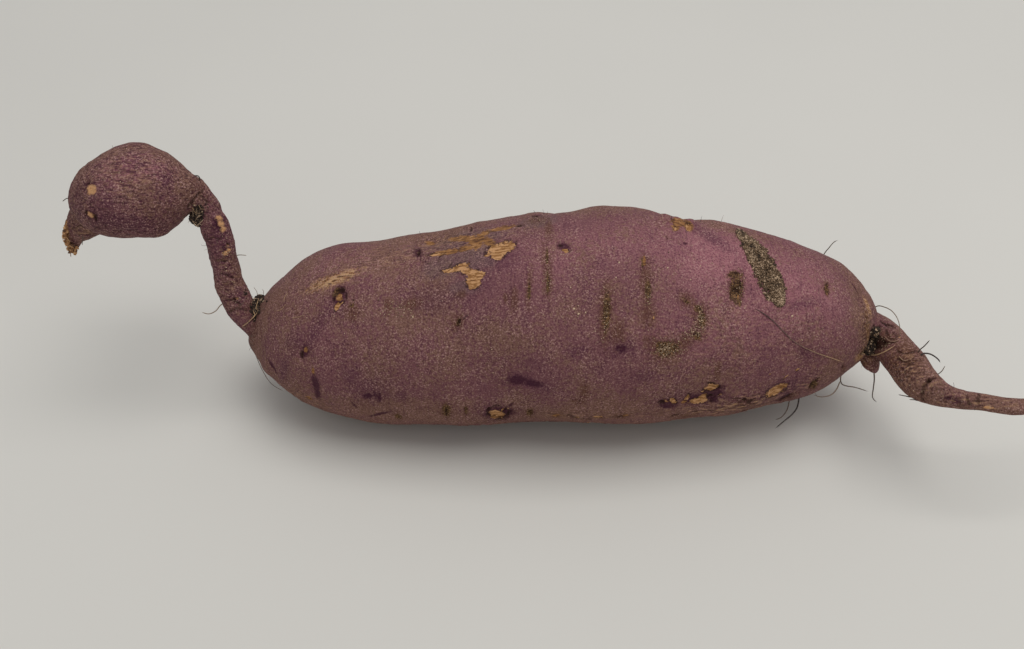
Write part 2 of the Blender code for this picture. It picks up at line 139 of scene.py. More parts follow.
# Marks on the picture: x, y, half width and half height in pixels, and turn in degrees, anticlockwise.
MARKS = {
    # Skin torn off down to pale golden flesh.
    "peeled": [
        (452, 270, 11, 2.4, 6), (461, 266.5, 8, 3.6, 20), (470, 272, 9, 3.6, -8), (474, 281, 7.4, 7, 0),
        (480.5, 274, 5, 3.4, 0), (472, 286.5, 5, 2.6, 0), (498, 249, 10, 5, 10), (508, 246.5, 7, 5.4, 10),
        (496, 257, 6.5, 3, -22), (487, 254.5, 4, 1.4, 0), (500, 252.5, 8, 5, 25), (437, 253.5, 9, 1.6, 6),
        (711, 387.5, 7.4, 3.2, 12), (698.5, 401, 10, 3, 3), (703, 397, 4, 3, 30),
        (673, 401, 4.6, 2.4, -25), (687, 398, 3, 2, 40), (776, 390, 10.5, 5, 28),
        (784.5, 385.5, 4, 1.9, 40), (771, 394, 3, 1.8, 10), (786, 376.6, 3, 1.2, 35),
        (783.6, 374.6, 1.8, 0.9, 20), (797.5, 369.8, 2.8, 1.2, 20), (770.5, 374.4, 1.5, 1, 0),
        (762, 387.6, 1.8, 1, 0), (719, 395.6, 3.4, 1, 12), (702, 392, 1.6, 0.9, 20),
        (653.7, 317, 1.2, 2.8, 5), (688.5, 227.5, 3.4, 4.6, 0), (675.4, 228.5, 1.9, 2.4, 0),
        (337, 306.5, 2.6, 4.4, -22), (342.4, 302.6, 2.6, 1.5, 30), (565.5, 250.5, 3.6, 2.6, -20),
        (597, 416.4, 5.4, 1.3, 0), (577, 417, 3, 0.9, 0), (503.5, 409.6, 2.8, 1.2, -15),
        (496.5, 414.4, 8, 3.6, -12)],
    # Older, browner torn skin.
    "ochre": [
        (466, 238.6, 20, 3.2, 0), (476, 243, 7, 7, 20), (488, 241.5, 9, 4, -28), (501, 228.5, 15, 2.6, 12),
        (483, 234, 8, 2.6, 20), (447, 251.5, 17, 2.6, 8), (465, 248, 9, 3, 12), (430, 243.5, 6, 2, -10),
        (681, 222.6, 12, 4.6, 0), (675, 227, 4, 4.6, 0), (688.5, 226, 5.6, 6, 0), (305.5, 350, 2.2, 3, 0),
        (339.4, 297.5, 3.4, 4.4, -10), (66, 226, 2.6, 10, 0), (644.6, 261, 1.7, 6, 0),
        (738, 297, 1.2, 5, -8), (237, 298.6, 2.6, 0.8, 0), (556, 416, 3.4, 1.6, 10),
        (624, 414.8, 5, 1.3, 8), (309, 398, 4, 1.4, -28), (497, 417.6, 6, 1.8, -4), (684, 402, 3, 1.6, 20),
        (666, 401.4, 3.4, 1.4, -15), (313, 371, 1.6, 4, 0)],
    # Pale healed cork.
    "cork": [
        (90, 188.2, 4, 3.4, 0), (93, 188.4, 3.8, 3.4, 0), (90.2, 191, 3.8, 3.2, 0),
        (93.2, 190.8, 3.8, 3.2, 0), (90.5, 214.8, 4.4, 2.1, -28), (218.8, 217.8, 2.5, 2.3, 0),
        (221, 223.6, 2.4, 3, 10), (223, 229, 2, 3, -20), (225.4, 253, 2.6, 1.9, 20),
        (228.6, 249.6, 1.4, 1.5, 0), (228, 245, 1, 0.9, 0), (508, 408.6, 1.6, 1.1, 0),
        (661, 248.2, 4, 0.8, 6), (988.5, 407.4, 5, 1.2, -8), (899, 337, 1.2, 0.9, 0)],
    # Small dark pits, cracks and crevices; their dark is partly painted shade in them.
    "hollow": [
        (341, 290.4, 4.6, 2.6, 0), (345, 296, 1.3, 5, 4), (334.4, 298, 1, 5, -14),
        (352.7, 299.8, 1.2, 1, 0), (489, 409.4, 4, 1.1, 32), (497, 407, 5, 1, 4),
        (506.6, 410.6, 4, 1.1, -18), (487.4, 414, 1.3, 4, 0), (508, 415.4, 1.5, 3.2, 0),
        (500, 420, 6, 1, 4), (512, 412.6, 3, 0.8, -12), (786, 401, 3, 0.9, 40), (711, 383.6, 6, 0.9, 8),
        (662, 402.6, 4, 1.6, -12), (744, 410.4, 3.6, 1.2, 8), (719, 413, 3, 0.8, 5),
        (735, 289.4, 4.6, 2, 0), (732, 296, 1.2, 4, 0), (740.6, 283, 1.2, 3, 0), (301.5, 355, 2, 4, 0),
        (560.5, 245, 3.4, 1.6, -8), (520, 225.6, 3.6, 1.6, 5), (536, 215.4, 4, 0.9, 10),
        (471, 229, 1.2, 2.6, 0), (418.5, 252, 1.8, 3.2, 10), (430, 263.4, 1, 1, 0),
        (668, 237.7, 1.2, 1.3, 0), (819, 322, 1.1, 1.4, 0), (530, 413, 1.6, 2.4, 0),
        (446, 412, 1.2, 2.4, 0), (569.6, 416, 5.4, 1, 0), (586, 418.6, 4.6, 0.9, 0),
        (620, 416.6, 3, 0.9, 8), (675.4, 415, 3.6, 1.4, 10), (744.6, 400.6, 3.6, 1.4, 10),
        (785.4, 397.6, 6, 1.3, 35), (790, 394.6, 2, 1.4, 30), (811.4, 385, 1.8, 3.6, -20),
        (817, 379.6, 1.2, 3, -30), (734, 273.6, 7, 1.3, 8), (737.6, 290, 1.3, 4, 0),
        (826.8, 286, 1.1, 3, -8), (843, 366.4, 1.4, 2.2, 0), (672.6, 220.5, 1.1, 4, 6),
        (929, 380, 3, 1.3, 35), (228, 244, 1.3, 1.3, 0), (234.5, 299, 1.4, 1.4, 0),
        (459, 322, 1.8, 3.6, -20), (457, 331, 1.4, 1.6, 0), (578, 402, 3, 0.9, 15),
        (87.5, 183.6, 3, 1.4, 30), (85.6, 213, 1.4, 2.6, 0), (94.6, 217.6, 1.4, 3, 0),
        (661, 403.6, 3, 1.4, -20), (688, 395.4, 3.4, 1.1, 20), (710, 396, 3.6, 1.3, 15),
        (719, 387.6, 1.8, 1.6, 0), (707, 404.4, 4, 0.8, 5), (874, 333, 1.4, 7, -12), (872, 345, 5, 5, 20),
        (880, 341, 3, 6, 15), (889, 324, 5, 0.9, -20), (895, 333, 0.9, 4, 20)],
    # Fresh dark violet grazes.
    "graze": [
        (315.6, 384, 3.8, 9, 2), (317.6, 394, 3.2, 6, 6), (272, 366, 1.6, 9, 28),
        (380, 414.4, 13, 1.3, 14), (354, 405, 1.6, 5.4, 35), (368, 396, 5, 3.4, 0),
        (423, 261, 6, 0.9, -35), (499, 413.5, 14, 6.6, 4), (510.5, 405, 4.6, 1.2, 36),
        (91, 187.6, 6.4, 5.2, 0), (90, 214, 6, 4, -15), (563.5, 246.5, 7, 4, -12),
        (668, 402.5, 10, 3.4, -6), (697, 399, 13.5, 5.2, 5), (713, 389, 10, 4.6, 12), (714, 399, 5, 4, 20),
        (855, 287, 0.8, 8, 35), (225.5, 250, 3.6, 5, 0), (220, 223, 3.8, 7, -10),
        (952, 399.5, 10, 2.4, -16), (376, 396, 1.6, 6, 5), (621.5, 348.5, 5.8, 4.2, 0),
        (418, 252, 4.4, 5, 10), (685, 243.4, 3, 1.4, 5), (518, 380, 10.4, 4.7, 0),
        (533, 383.6, 10, 3.4, -5), (522, 403, 3.4, 0.8, -30), (535.5, 402.6, 3.4, 0.8, -25),
        (339, 296, 6, 9, -10), (305, 352, 3.6, 6, 0), (716, 394, 8, 3.6, 10), (668, 406, 10, 2.4, 0),
        (379.6, 397.6, 1.7, 5.6, 0), (784, 397, 7, 3, 32)],
    # Soft violet patches where the skin is rubbed thin.
    "violet": [
        (318, 326, 7, 30, -30), (372, 389, 20, 14, 0), (370, 395, 13, 7, 0), (399, 396, 8, 5, 0),
        (518, 381, 17, 8, 0), (538, 386, 16, 5, -5), (712, 238, 18, 6.5, -38), (712, 238, 10, 2, -38),
        (695.6, 227, 5, 5, 0), (696, 227, 3.6, 3.6, 0), (801, 304, 18, 5, 8), (804, 352, 8, 8, 0),
        (322, 322, 4, 14, -32), (430, 300, 30, 12, 0), (690, 399, 34, 10, 3), (780, 388, 22, 9, 22),
        (496, 258, 22, 12, 0), (480, 282, 14, 8, 0), (138, 166, 6, 8, 0), (166, 180, 5, 8, 0),
        (108, 200, 8, 6, 0), (122, 224, 34, 9, -3), (78, 200, 6, 18, 0), (296, 340, 9, 10, 0),
        (336, 306, 10, 12, 0), (219, 236, 6, 22, 8), (284, 372, 5, 16, -28), (240, 296, 3, 10, 10),
        (625, 349, 14, 9, 0), (645, 376, 14, 6, 0), (575, 352, 12, 6, 0), (500, 413, 22, 9, 0),
        (352, 376, 10, 9, 30)],
    # Olive soil worked into the skin, much of it in streaks round the body; in the gap beside the neck it is
    # partly painted shade.
    "soiled": [
        (547.5, 270, 5, 26, 3), (548, 289, 5, 9, 0), (549, 229, 4, 12, 0), (529, 289, 3.4, 20, -3),
        (514, 299, 4.4, 13, 0), (506, 298, 3, 5, 0), (606, 312, 7, 32, -2), (604, 300, 5, 12, 0),
        (458, 322, 7, 8, -30), (461, 294.6, 6, 4.6, 0), (446.5, 411, 6, 8.6, 0), (466, 411, 2.4, 6, 0),
        (584, 391, 5, 9, 3), (645, 262, 3.4, 8, 0), (387, 306, 4, 9, 0), (413, 303, 9, 5, 10),
        (646, 281, 6.5, 24, 0), (648, 314, 8, 14, 0), (688, 301, 13, 7, -35), (700, 312, 8, 10, -25),
        (702, 323, 7, 10, 0), (697, 334, 8, 9, 30), (684, 342, 12, 8, 30), (668, 350, 19, 12, 10),
        (650, 342, 8, 7, 0), (618, 332, 8, 12, 0), (735.6, 289, 8, 17, -10), (826, 289, 3.4, 8, -8),
        (537, 221, 12, 5, 8), (353, 313, 8, 8, -30), (718, 371, 3, 9, 0), (813, 385, 6, 6, 40),
        # The row at (256, 306) is soil stain and painted shade in the gap beside the neck.
        (867, 324, 4, 20, 8), (843, 370, 3, 4, 0), (296, 312, 2.4, 5, 30), (256, 306, 7, 12, -20),
        (196, 215, 6, 8, 0), (875, 342, 6, 10, 20), (886, 338, 9, 8, 0), (69, 238, 6, 12, 0),
        (530, 413, 4, 5.4, 0), (558, 416, 6, 3, 0), (398, 416, 5, 4, 0), (906, 356, 12, 22, -35),
        (744, 404, 14, 6, 5), (790, 397, 9, 5, 35), (683, 416, 14, 3, 4), (622, 415, 8, 3, 5),
        (252, 340, 5, 16, -20), (870, 362, 8, 7, 0), (578, 401, 8, 3, 5)],
    # Strong olive-brown soil with golden bits, in the deeper sores.
    "earthy": [
        (735, 275, 9, 4.6, 6), (736.4, 289, 6.4, 14, -10), (739, 302, 3, 5, 0), (826.5, 289.5, 2.6, 7, -8),
        (446.5, 410.6, 4, 6.4, 0), (466, 410.6, 1.8, 5, 0), (529.6, 413.4, 3.2, 4, 0),
        (398, 416.4, 3.4, 2.6, 0), (686, 301, 5, 2, -30), (698, 309, 4, 4, -40), (668, 349, 12, 7.4, 12),
        (660, 345, 4, 4, 0), (697, 336, 4, 4.6, 25), (606.5, 312, 3.8, 22, -2), (702, 320, 3.6, 8, 6),
        (643, 263, 1.8, 6, 0), (648, 290, 3, 12, 0), (548, 284, 1.8, 12, 0), (547, 256, 1.6, 10, 0),
        (529, 292, 1.6, 12, -3), (352, 305, 3, 3, 0), (336, 292, 3, 6, -20), (814, 384, 3.4, 5, 30),
        (458, 322, 2, 4, -20)],
    # Skin rubbed pale and straw coloured.
    "rubbed": [
        (331, 280.6, 27, 5.4, 19), (318, 286, 10, 4, 20), (349, 274, 9, 5, 14), (338, 279, 16, 4.4, 16),
        (868, 328, 3, 18, 5), (869, 308, 2.4, 11, 15), (860, 356, 6, 4, 20)],
    # Grey weathered halo round the upper scars.
    "weathered": [
        (436, 269, 16, 11, 0), (462, 257, 32, 18, 5), (478, 236, 28, 8, 8), (537, 222, 18, 8, 8),
        (462, 288, 14, 8, 0)],
}
# Soft fields on the picture: x, y, half width and half height in pixels, turn and amount.
FIELDS = {
    # Where the skin is lighter and pinker: pinker skin, and a painted highlight along the top, strongest on
    # the upper right and on the head's top.
    "blush": [
        (132, 170, 30, 18, 8, 0.9), (715, 258, 62, 36, -14, 1.15), (600, 244, 60, 20, 6, 0.4),
        (804, 290, 46, 36, -24, 0.8), (710, 330, 80, 34, 0, 0.45), (335, 330, 34, 26, 0, 0.1),
        (368, 262, 52, 13, 8, 0.75), (560, 262, 46, 26, 0, 0.3)],
    # Where brown scurf and dust lie thicker.
    "dust": [
        (365, 262, 78, 17, 8, 1.0), (300, 292, 24, 24, 30, 0.35), (260, 330, 9, 44, -20, 0.9),
        (866, 336, 11, 44, 10, 1.0), (560, 411, 260, 16, 0, 1.0), (400, 340, 80, 40, 0, 0.35),
        (420, 241, 50, 7, 5, 0.9), (498, 222, 30, 7, 8, 0.8), (866, 300, 8, 20, 15, 0.9),
        (440, 234, 40, 6, 8, 0.8), (500, 214, 90, 5, 6, 0.6), (620, 208, 70, 4, 0, 0.7),
        (760, 238, 60, 5, -20, 0.7), (78, 186, 6, 30, 12, 0.8), (112, 152, 34, 6, 16, 0.9),
        (170, 158, 24, 6, -32, 0.8), (188, 188, 12, 24, 20, 1.0), (830, 370, 30, 12, 30, 0.6),
        (80, 226, 14, 12, 0, 0.9), (146, 161.5, 7, 3, 0, 0.8), (127, 194, 5, 4, 0, 0.7),
        (420, 296, 22, 26, -20, 0.5), (404, 308, 20, 10, 0, 0.5), (500, 330, 34, 26, 0, 0.3),
        (340, 400, 60, 10, -14, 0.6)],
    # Where the skin is split and scaly like bark.
    "bark": [
        (752, 401, 44, 10, 12, 1.2), (740, 340, 110, 56, 0, 0.3), (700, 411, 46, 5, 0, 0.8),
        (812, 380, 14, 10, 35, 0.5), (330, 281, 30, 7, 18, 1.1), (462, 240, 46, 9, 4, 0.9),
        (912, 372, 26, 20, -35, 0.9), (975, 402, 46, 9, -3, 0.8), (128, 176, 44, 30, 6, 0.45),
        (226, 262, 10, 46, 10, 0.5), (580, 415, 60, 4, 0, 0.7), (78, 222, 14, 20, 0, 0.7),
        (866, 336, 10, 36, 8, 0.8), (390, 256, 50, 12, 4, 0.5), (300, 396, 40, 6, -20, 0.7)],
    # Where the skin swells out or in, in mm.
    "swell": [
        (663, 222, 9, 7, 0, 2.4), (676, 225, 7, 6, 0, 1.7), (690, 226, 10, 6, 0, 2.0),
        (790, 248, 46, 10, -22, 1.7), (200, 188, 13, 10, -45, 0.9), (191, 182, 8, 8, -45, 0.9),
        (428, 237, 24, 8, 8, -3.2), (352, 248, 22, 7, 5, 0.8), (482, 226, 12, 7, 0, 0.7),
        (535, 219, 7, 5, 0, -1.0), (566, 217, 9, 6, 0, 0.6), (863, 297, 8, 12, -50, -1.3),
        (730, 404, 42, 8, 12, 1.2), (221, 210, 5, 8, 0, -1.0), (252, 342, 9, 9, -30, 0.8),
        (266, 366, 9, 10, -30, 1.0), (136, 147, 18, 6, 0, -1.1), (181, 218, 9, 6, 45, -1.1),
        (168, 229, 9, 6, 25, -0.9), (246, 283, 5, 9, 25, -1.2), (251, 291, 4, 6, 0, -0.8),
        (912, 368, 12, 10, -30, 0.35), (938, 388, 9, 9, -10, 0.7), (966, 398, 8, 6, 0, 0.2),
        (893, 336, 8, 8, 0, 0.4), (88, 214, 9, 7, -20, 0.5), (84, 236, 7, 5, 0, 0.3)],
}
# Creases on the picture: pixels that each passes, half width and depth in mm. The skin is also painted
# darker along them, as painted shade in the creases.
CREASES = [
    ([(934, 377), (928, 381), (923, 387), (921.5, 394), (922, 401)], 0.6, 1.0),
    ([(896, 350), (903, 353), (911, 352), (917, 350)], 0.4, 0.4),
    ([(897, 358), (903, 361.5), (910, 360.5), (916, 356)], 0.4, 0.35),
    ([(907, 365), (912, 362.5), (917, 359)], 0.35, 0.5),
    ([(968, 391), (967, 397), (969, 404)], 0.5, 0.3),
    ([(979, 394), (978, 401), (979, 410)], 0.4, 0.3),
    ([(880, 320), (885, 323.5), (889.5, 326.6), (896, 327)], 0.4, 0.5),
    ([(886, 330), (888, 337), (893, 339), (898, 336)], 0.4, 0.4),
    ([(882, 341), (889, 343), (896, 341)], 0.4, 0.4),
    ([(877.5, 327), (876, 334), (873, 342), (868, 349), (862, 354)], 0.9, 0.5),
    ([(418, 254), (422, 259), (426, 261), (430, 264)], 0.35, 0.3),
    ([(442, 252), (438, 262), (446, 268), (452, 263)], 0.4, 0.25),
    ([(565, 416.5), (575, 417.4), (588, 417), (598, 418)], 0.4, 0.3),
    ([(750, 408), (765, 404), (780, 400), (795, 396)], 0.4, 0.3),
    ([(700, 412), (715, 411), (730, 409.5), (745, 406)], 0.4, 0.3),
    ([(78, 236), (86, 232), (96, 228), (106, 227)], 0.4, 0.3),
    ([(72, 229), (80, 226), (90, 221)], 0.4, 0.25),
    ([(100, 236), (112, 232), (126, 231), (140, 233)], 0.4, 0.25),
    ([(90, 205), (95, 210), (97, 216), (96, 221)], 0.4, 0.3),
    ([(188, 208), (193, 201), (198, 195), (203, 190)], 0.5, 0.5),
    ([(206, 240), (213, 238), (221, 240)], 0.35, 0.25), ([(210, 262), (218, 260), (226, 262)], 0.35, 0.25),
    ([(214, 276), (222, 274), (233, 278)], 0.35, 0.25), ([(222, 303), (230, 300), (240, 304)], 0.4, 0.3),
    ([(229, 312), (238, 309), (246, 311)], 0.4, 0.3), ([(202, 196), (208, 202), (216, 206)], 0.35, 0.25),
]
# Marks strewn on the far side: where along the body in mm and round it in degrees, how far each may be
# turned, how deep it reaches in mm, and for each kind how many and the low and high half lengths in mm.
FAR_X, FAR_DEGREES, FAR_TURN, FAR_DEPTH = (-92, 90), (58, 232), 0.35, 4
FAR_MARKS = {
    "peeled": (7, (1.2, 4.0), (0.6, 1.6)), "ochre": (6, (1.5, 5.0), (0.5, 1.4)),
    "cork": (5, (0.6, 1.6), (0.6, 1.2)), "hollow": (16, (0.4, 1.4), (0.4, 1.5)),
    "graze": (10, (0.6, 3.0), (0.5, 2.2)), "violet": (24, (2.0, 6.0), (1.5, 5.5)),
    "soiled": (20, (0.8, 2.0), (3.0, 9.0)), "earthy": (6, (0.6, 1.4), (1.5, 4.0)),
    "rubbed": (6, (3.0, 7.0), (1.0, 2.4)), "weathered": (4, (3.0, 6.0), (3.0, 5.0)),
}
# The reach given to points that are far from every mark, in shares of a mark's half sizes.
FAR_REACH = 3.0
# How each kind of mark shapes the skin: depth in mm inside it, and height of the rim round it.
MARK_RELIEF = {"peeled": (-0.3, 0.16), "ochre": (-0.22, 0.1), "cork": (0.16, 0.05), "hollow": (-0.7, 0.14),
               "graze": (-0.12, 0.03), "soiled": (0.04, 0.0), "earthy": (-0.2, 0.12),
               "rubbed": (-0.03, 0.0)}

# Rootlets that stand clear: the points that each passes, in mm, and its thickness there.
ROOTLETS = [
    ([(80.5, 12, 40), (83.1, 15, 45.2), (84.7, 16, 47.4), (86, 17, 48.6), (87.6, 18, 48.9)], 0.42),
    ([(95.5, 2, 30), (98.7, 1.5, 35), (99.4, -3, 38.8), (99.8, -9, 42), (100.6, -13.4, 41.6),
      (101.3, -16.5, 37)], 0.36),
    ([(103.6, -23.6, 35), (104.5, -23.3, 39.1), (105.6, -23.4, 41.3), (106.5, -23.6, 43.9)], 0.46),
    ([(103.6, -25.2, 36), (105, -24.6, 38.9), (106.3, -24.6, 39.4), (107.9, -25, 39.2),
      (109.6, -26, 38.4), (110.4, -26.6, 37.4)], 0.6),
    ([(85.4, -11, 26), (86.4, -15.4, 22), (86.6, -16.6, 19.8), (87.4, -18, 19.4), (90.4, -20, 20.4),
      (93.9, -22, 20.6)], 0.46),
    ([(86.6, -16.4, 20.2), (85.4, -18, 17.4), (83.6, -19, 16), (80.6, -20, 16.2), (77.8, -20.6, 17.6)], 0.4),
    ([(96.9, -12.4, 23.6), (97.9, -14.2, 19.2), (97.8, -16, 16.3), (98, -17, 13), (99.2, -18.6, 12.2)], 0.5),
    ([(74.6, -15, 17), (73.8, -20, 12.8), (71.6, -23.4, 12.2), (68.7, -26, 11.9), (65, -29.6, 12.1)], 0.56),
    ([(72, -15.6, 15), (70.8, -20, 11.2), (68.6, -23, 10.4), (65.8, -25.4, 11.4)], 0.42),
    ([(-105, 3.4, 37), (-109, 2.8, 34.6), (-110.8, 2, 32.8), (-112.9, 1, 32.4), (-114.7, 0, 34)], 0.4),
    ([(-104.2, 7.8, 50), (-101.6, 8, 50.7), (-98.7, 6.4, 51.8)], 0.3),
    ([(-114.6, 12, 72), (-110.2, 12, 75.6), (-109.9, 12, 77.4), (-111.4, 12, 77.7)], 0.5),
    ([(104.4, -32.4, 31), (102, -33.4, 30), (99.6, -34, 31), (97.1, -34.4, 32)], 0.4),
    ([(106.6, -34.6, 31), (104, -35.4, 30.4), (101.7, -36, 31.4), (99.8, -36.4, 32)], 0.4),
    ([(106.8, -32.2, 37), (108.4, -32.4, 39.4), (108.6, -33, 42.4)], 0.34),
    ([(-149, 12, 69), (-151.2, 12, 69.4), (-153, 12, 68.2)], 0.36),
    ([(-97.4, -1, 21), (-99.9, -1.4, 19.2), (-98.9, -4, 17), (-96.2, -9, 15.9), (-93.2, -13, 14.9),
      (-88.6, -17, 15.6)], 0.26),
    ([(-98, 5, 33), (-97.7, 6, 36.8), (-98.7, 7, 38.6)], 0.22),
    ([(-97, 6, 33), (-95.8, 6.6, 36.6), (-96.2, 7, 37.8)], 0.2),
    ([(-147, 7.6, 61), (-147.8, 6.4, 58.4), (-148.4, 6, 56)], 0.3),
]
ROOTLET_TONES = [0.5, 0.75, 0.35, 0.05, 0.55, 0.75, 0.5, 0.05, 0.6, 1.1, 0.8, 0.1, 0.1, 0.1, 0.7, 0.5, 0.6,
                 0.9, 0.9, 0.4]
# Short hairs: x, y, half width and half height in pixels, and how many.
STUBBLE = [
    (208, 240, 4, 40, 26), (222, 240, 4, 40, 20), (240, 300, 8, 16, 34), (258, 306, 5, 6, 16),
    (250, 330, 6, 16, 26), (85, 238, 12, 4, 14), (140, 150, 40, 8, 14), (190, 186, 8, 20, 16),
    (198, 214, 6, 8, 30), (884, 330, 8, 12, 26), (906, 372, 12, 12, 22), (940, 390, 16, 8, 20),
    (980, 402, 30, 5, 20), (864, 340, 5, 30, 20), (800, 392, 40, 6, 18), (440, 232, 60, 4, 16),
    (330, 400, 60, 8, 18), (540, 215, 20, 3, 10), (700, 222, 30, 3, 10)]
STUBBLE_LEAN, STUBBLE_LENGTH, STUBBLE_THICKNESS = 0.55, (0.5, 1.7), 0.13
# The far side's rootlets, as in the part: how many, how long and thick in mm, the seed, the run of x that
# they share, how far round the body in degrees, and how deep each starts and where it bends, in mm.
BACK_ROOTLETS, BACK_LENGTH, BACK_THICKNESS, BACK_SEED = 7, 9.0, 0.42, 11
BACK_START, BACK_RUN, BACK_DEGREES, BACK_SUNK, BACK_RISE = -78, 160, (62, 118), 3, 4.5
# Fibres on the skin: the pixels that each passes, thickness in mm, tones at both ends, and how far it
# stands off the skin in mm.
FIBRES = [
    ([(754, 308), (764, 314), (773, 321), (784, 332), (795, 342), (812, 351), (829, 357), (844, 362)],
     0.34, (0.0, 1.0), 0),
    ([(860, 352), (866, 354), (872, 355), (880, 354), (888, 351), (896, 346)], 0.42, (0.9, 1.0), 0.3),
    ([(243, 325.5), (247, 323), (251, 319.5), (253.5, 317)], 0.46, (0.7, 0.8), 0.3),
    ([(250, 319.5), (254, 316), (257.5, 311.5), (258.5, 306), (260, 302), (258, 298.5)], 0.26,
     (0.95, 1.0), 1.1),
    ([(252, 318), (256.5, 313), (260, 309.5), (261, 305), (262.5, 300)], 0.22, (0.9, 1.0), 1.2),
    ([(284, 302), (285, 297), (288, 293)], 0.16, (0.9, 0.9), 0),
    ([(277, 311), (282, 309), (286, 304)], 0.16, (0.9, 0.9), 0),
    ([(292, 318), (298, 317), (304, 315)], 0.18, (0.85, 0.85), 0),
    ([(899, 356), (904, 360.5), (912, 359)], 0.3, (0.7, 0.7), 0),
    ([(459.6, 322.6), (464, 318), (469, 314)], 0.2, (0.1, 0.2), 0),
    ([(236, 308), (242, 304), (246, 297)], 0.24, (0.25, 0.25), 0),
    ([(884, 336), (890, 341), (897, 341), (901, 336)], 0.3, (0.6, 0.6), 0),
    ([(192, 206), (196, 211), (201, 213)], 0.16, (0.9, 0.9), 0.5),
    ([(198, 204), (201, 208), (206, 209)], 0.14, (0.9, 0.9), 0.4),
]

# The soil cake's middle line on the picture: x, y and half width in pixels, and the rows it is read in.
CAKE_LINE = [(738, 231.5, 1.2), (745, 239.5, 3.8), (753.5, 250, 7.8), (759.5, 260, 9.6), (765.5, 270, 10.6),
             (770, 280, 10.4), (774, 290, 10), (779, 299.5, 6), (782, 304, 2)]
CAKE_ROWS = 200
# Its layers: how many grains, their size, lowest and highest lie in mm, tones, stretch, and how far
# bare patches eat into it. The lowest layer is darkest, partly as painted shade between the crumbs.
CAKE_LAYERS = [(2000, 0.34, 0.0, 0.3, 0.0, 0.3, (1, 1, 1), 0.0),
               (4400, 0.18, 0.15, 0.8, 0.12, 0.7, (1, 1, 2.4), 0.4),
               (1400, 0.22, 0.4, 0.95, 0.3, 0.95, (1, 1, 1.9), 0.6)]
# Clods of soil in the crevices, close to where the part has them: x, y, z and radius in mm.
CLODS = {
    "neck_soil": [(-97.4, 1.6, 34.8, 2.4), (-96.6, 4.0, 35.2, 1.8), (-97.4, -1.4, 33.2, 2.3)],
    "crook_soil": [(-111.2, 8.8, 65.4, 2.6), (-112.7, 9, 64.1, 1.7), (-111.8, 7.8, 63.4, 1)],
    "tail_soil": [(95.6, -9.6, 31.2, 2.7), (94.2, -12.4, 30.2, 2.1), (96.2, -10.4, 34.2, 1.9)],
}
# Grains tried and kept, their size in mm, how far they stray from the clod in shares of its radius, how
# deep they may sink into the skin in mm, and how long they are for their width.
CLOD_TRIES, CLOD_GRAINS, CLOD_GRAIN, CLOD_LOOSE, CLOD_SUNK = 9000, 1200, 0.27, 1.1, 0.2
CRUMB_STRETCH = (1, 1, 1.4)
# Hairs in each clod, their thickness in mm, and how dark each clod is: darker than the crust partly as
# painted shade in its crevice.
CLOD_HAIR_THICKNESS = 0.22
CLOD_HAIRS = {"neck_soil": 22, "crook_soil": 44, "tail_soil": 8}
CLOD_TONES = {"neck_soil": -0.34, "crook_soil": -0.34, "tail_soil": -0.1}
# Crumbs beside the clods: x, y, half width and half height in pixels, and how many.
CREVICE_BITS = {
    "neck_soil": [(255.5, 308, 4, 9, 260), (261, 300, 5, 2.4, 70), (246, 292, 3, 4, 12)],
    "crook_soil": [(199, 211.6, 5, 6, 170)],
    "tail_soil": [(875, 345, 4, 7, 30)],
}
# Loose sand on the skin: x, y, half width and half height in pixels, and how many grains.
SAND = [
    (668, 349, 16, 10, 240), (606, 312, 5, 26, 70), (701, 320, 6, 16, 120), (547, 280, 4, 20, 40),
    (690, 334, 10, 8, 80), (648, 296, 4, 12, 40), (400, 308, 24, 9, 90), (740, 291, 7, 14, 40),
    (575, 310, 30, 22, 22), (450, 350, 60, 40, 40), (700, 270, 40, 30, 30), (330, 330, 40, 30, 26),
    (537, 221, 12, 5, 24), (884, 342, 12, 8, 40), (257, 306, 8, 12, 30), (126, 190, 44, 32, 26),
    (226, 262, 8, 34, 60), (930, 385, 40, 14, 40), (820, 330, 30, 20, 30)]
# Bright single grains on the picture.
BRIGHT_SAND = [
    (619.3, 262.6), (616, 277.7), (744.6, 308.3), (570.5, 287.5), (578.5, 314), (574, 309), (585.6, 312.6),
    (690.6, 279.7), (667.5, 268), (792, 316), (404, 313), (413, 317)]
# Size of the strewn grains, and lowest and highest size of the bright ones, in mm.
SAND_GRAIN, BRIGHT_GRAIN = 0.13, (0.2, 0.34)

# The torn tip: its line in mm with how far crumbs stray from it, rows along it, crumbs and fibres, the
# crumbs' sizes, and how far off the root they may lie.
TORN_LINE = [(-151.6, 9.6, 62.2, 0.5), (-153.6, 9, 58.5, 0.7), (-154.2, 9.4, 55, 1),
             (-153.9, 10, 52, 1.3), (-154, 11, 50, 1)]
TORN_ROWS, TORN_CRUMBS, TORN_FIBRES, TORN_GRAIN, TORN_REACH = 60, 240, 26, (0.22, 0.62), 0.8

# Seeds of the pieces' random draws.
SEEDS = {"rootlets": 21, "soil_cake": 31, "crevice_soil": 41, "sand": 51, "torn_tip": 61}

# Fine relief: size in mm, height in mm and seed of each lump, for thick forms and for all of them.
COARSE_LUMPS = [(13, 0.26, 1), (6, 0.15, 2)]
FINE_LUMPS = [(2.4, 0.085, 3), (1.1, 0.045, 4)]
WRINKLE_HEIGHT, HOOK_WRINKLE_HEIGHT, FURROW_DEPTH = 0.05, 0.13, 0.32
# How far lumps move a mark's rim, in shares of its size, and their size in mm.
RIM_RAGGED, RIM_LUMP = 0.24, 1.3
# Points along a crease, and how far from its middle it is looked for, in mm.
CREASE_STEPS, CREASE_NEAR = 40, 30
# Cells along each side of the lattice that lumps are drawn from.
LATTICE = 32
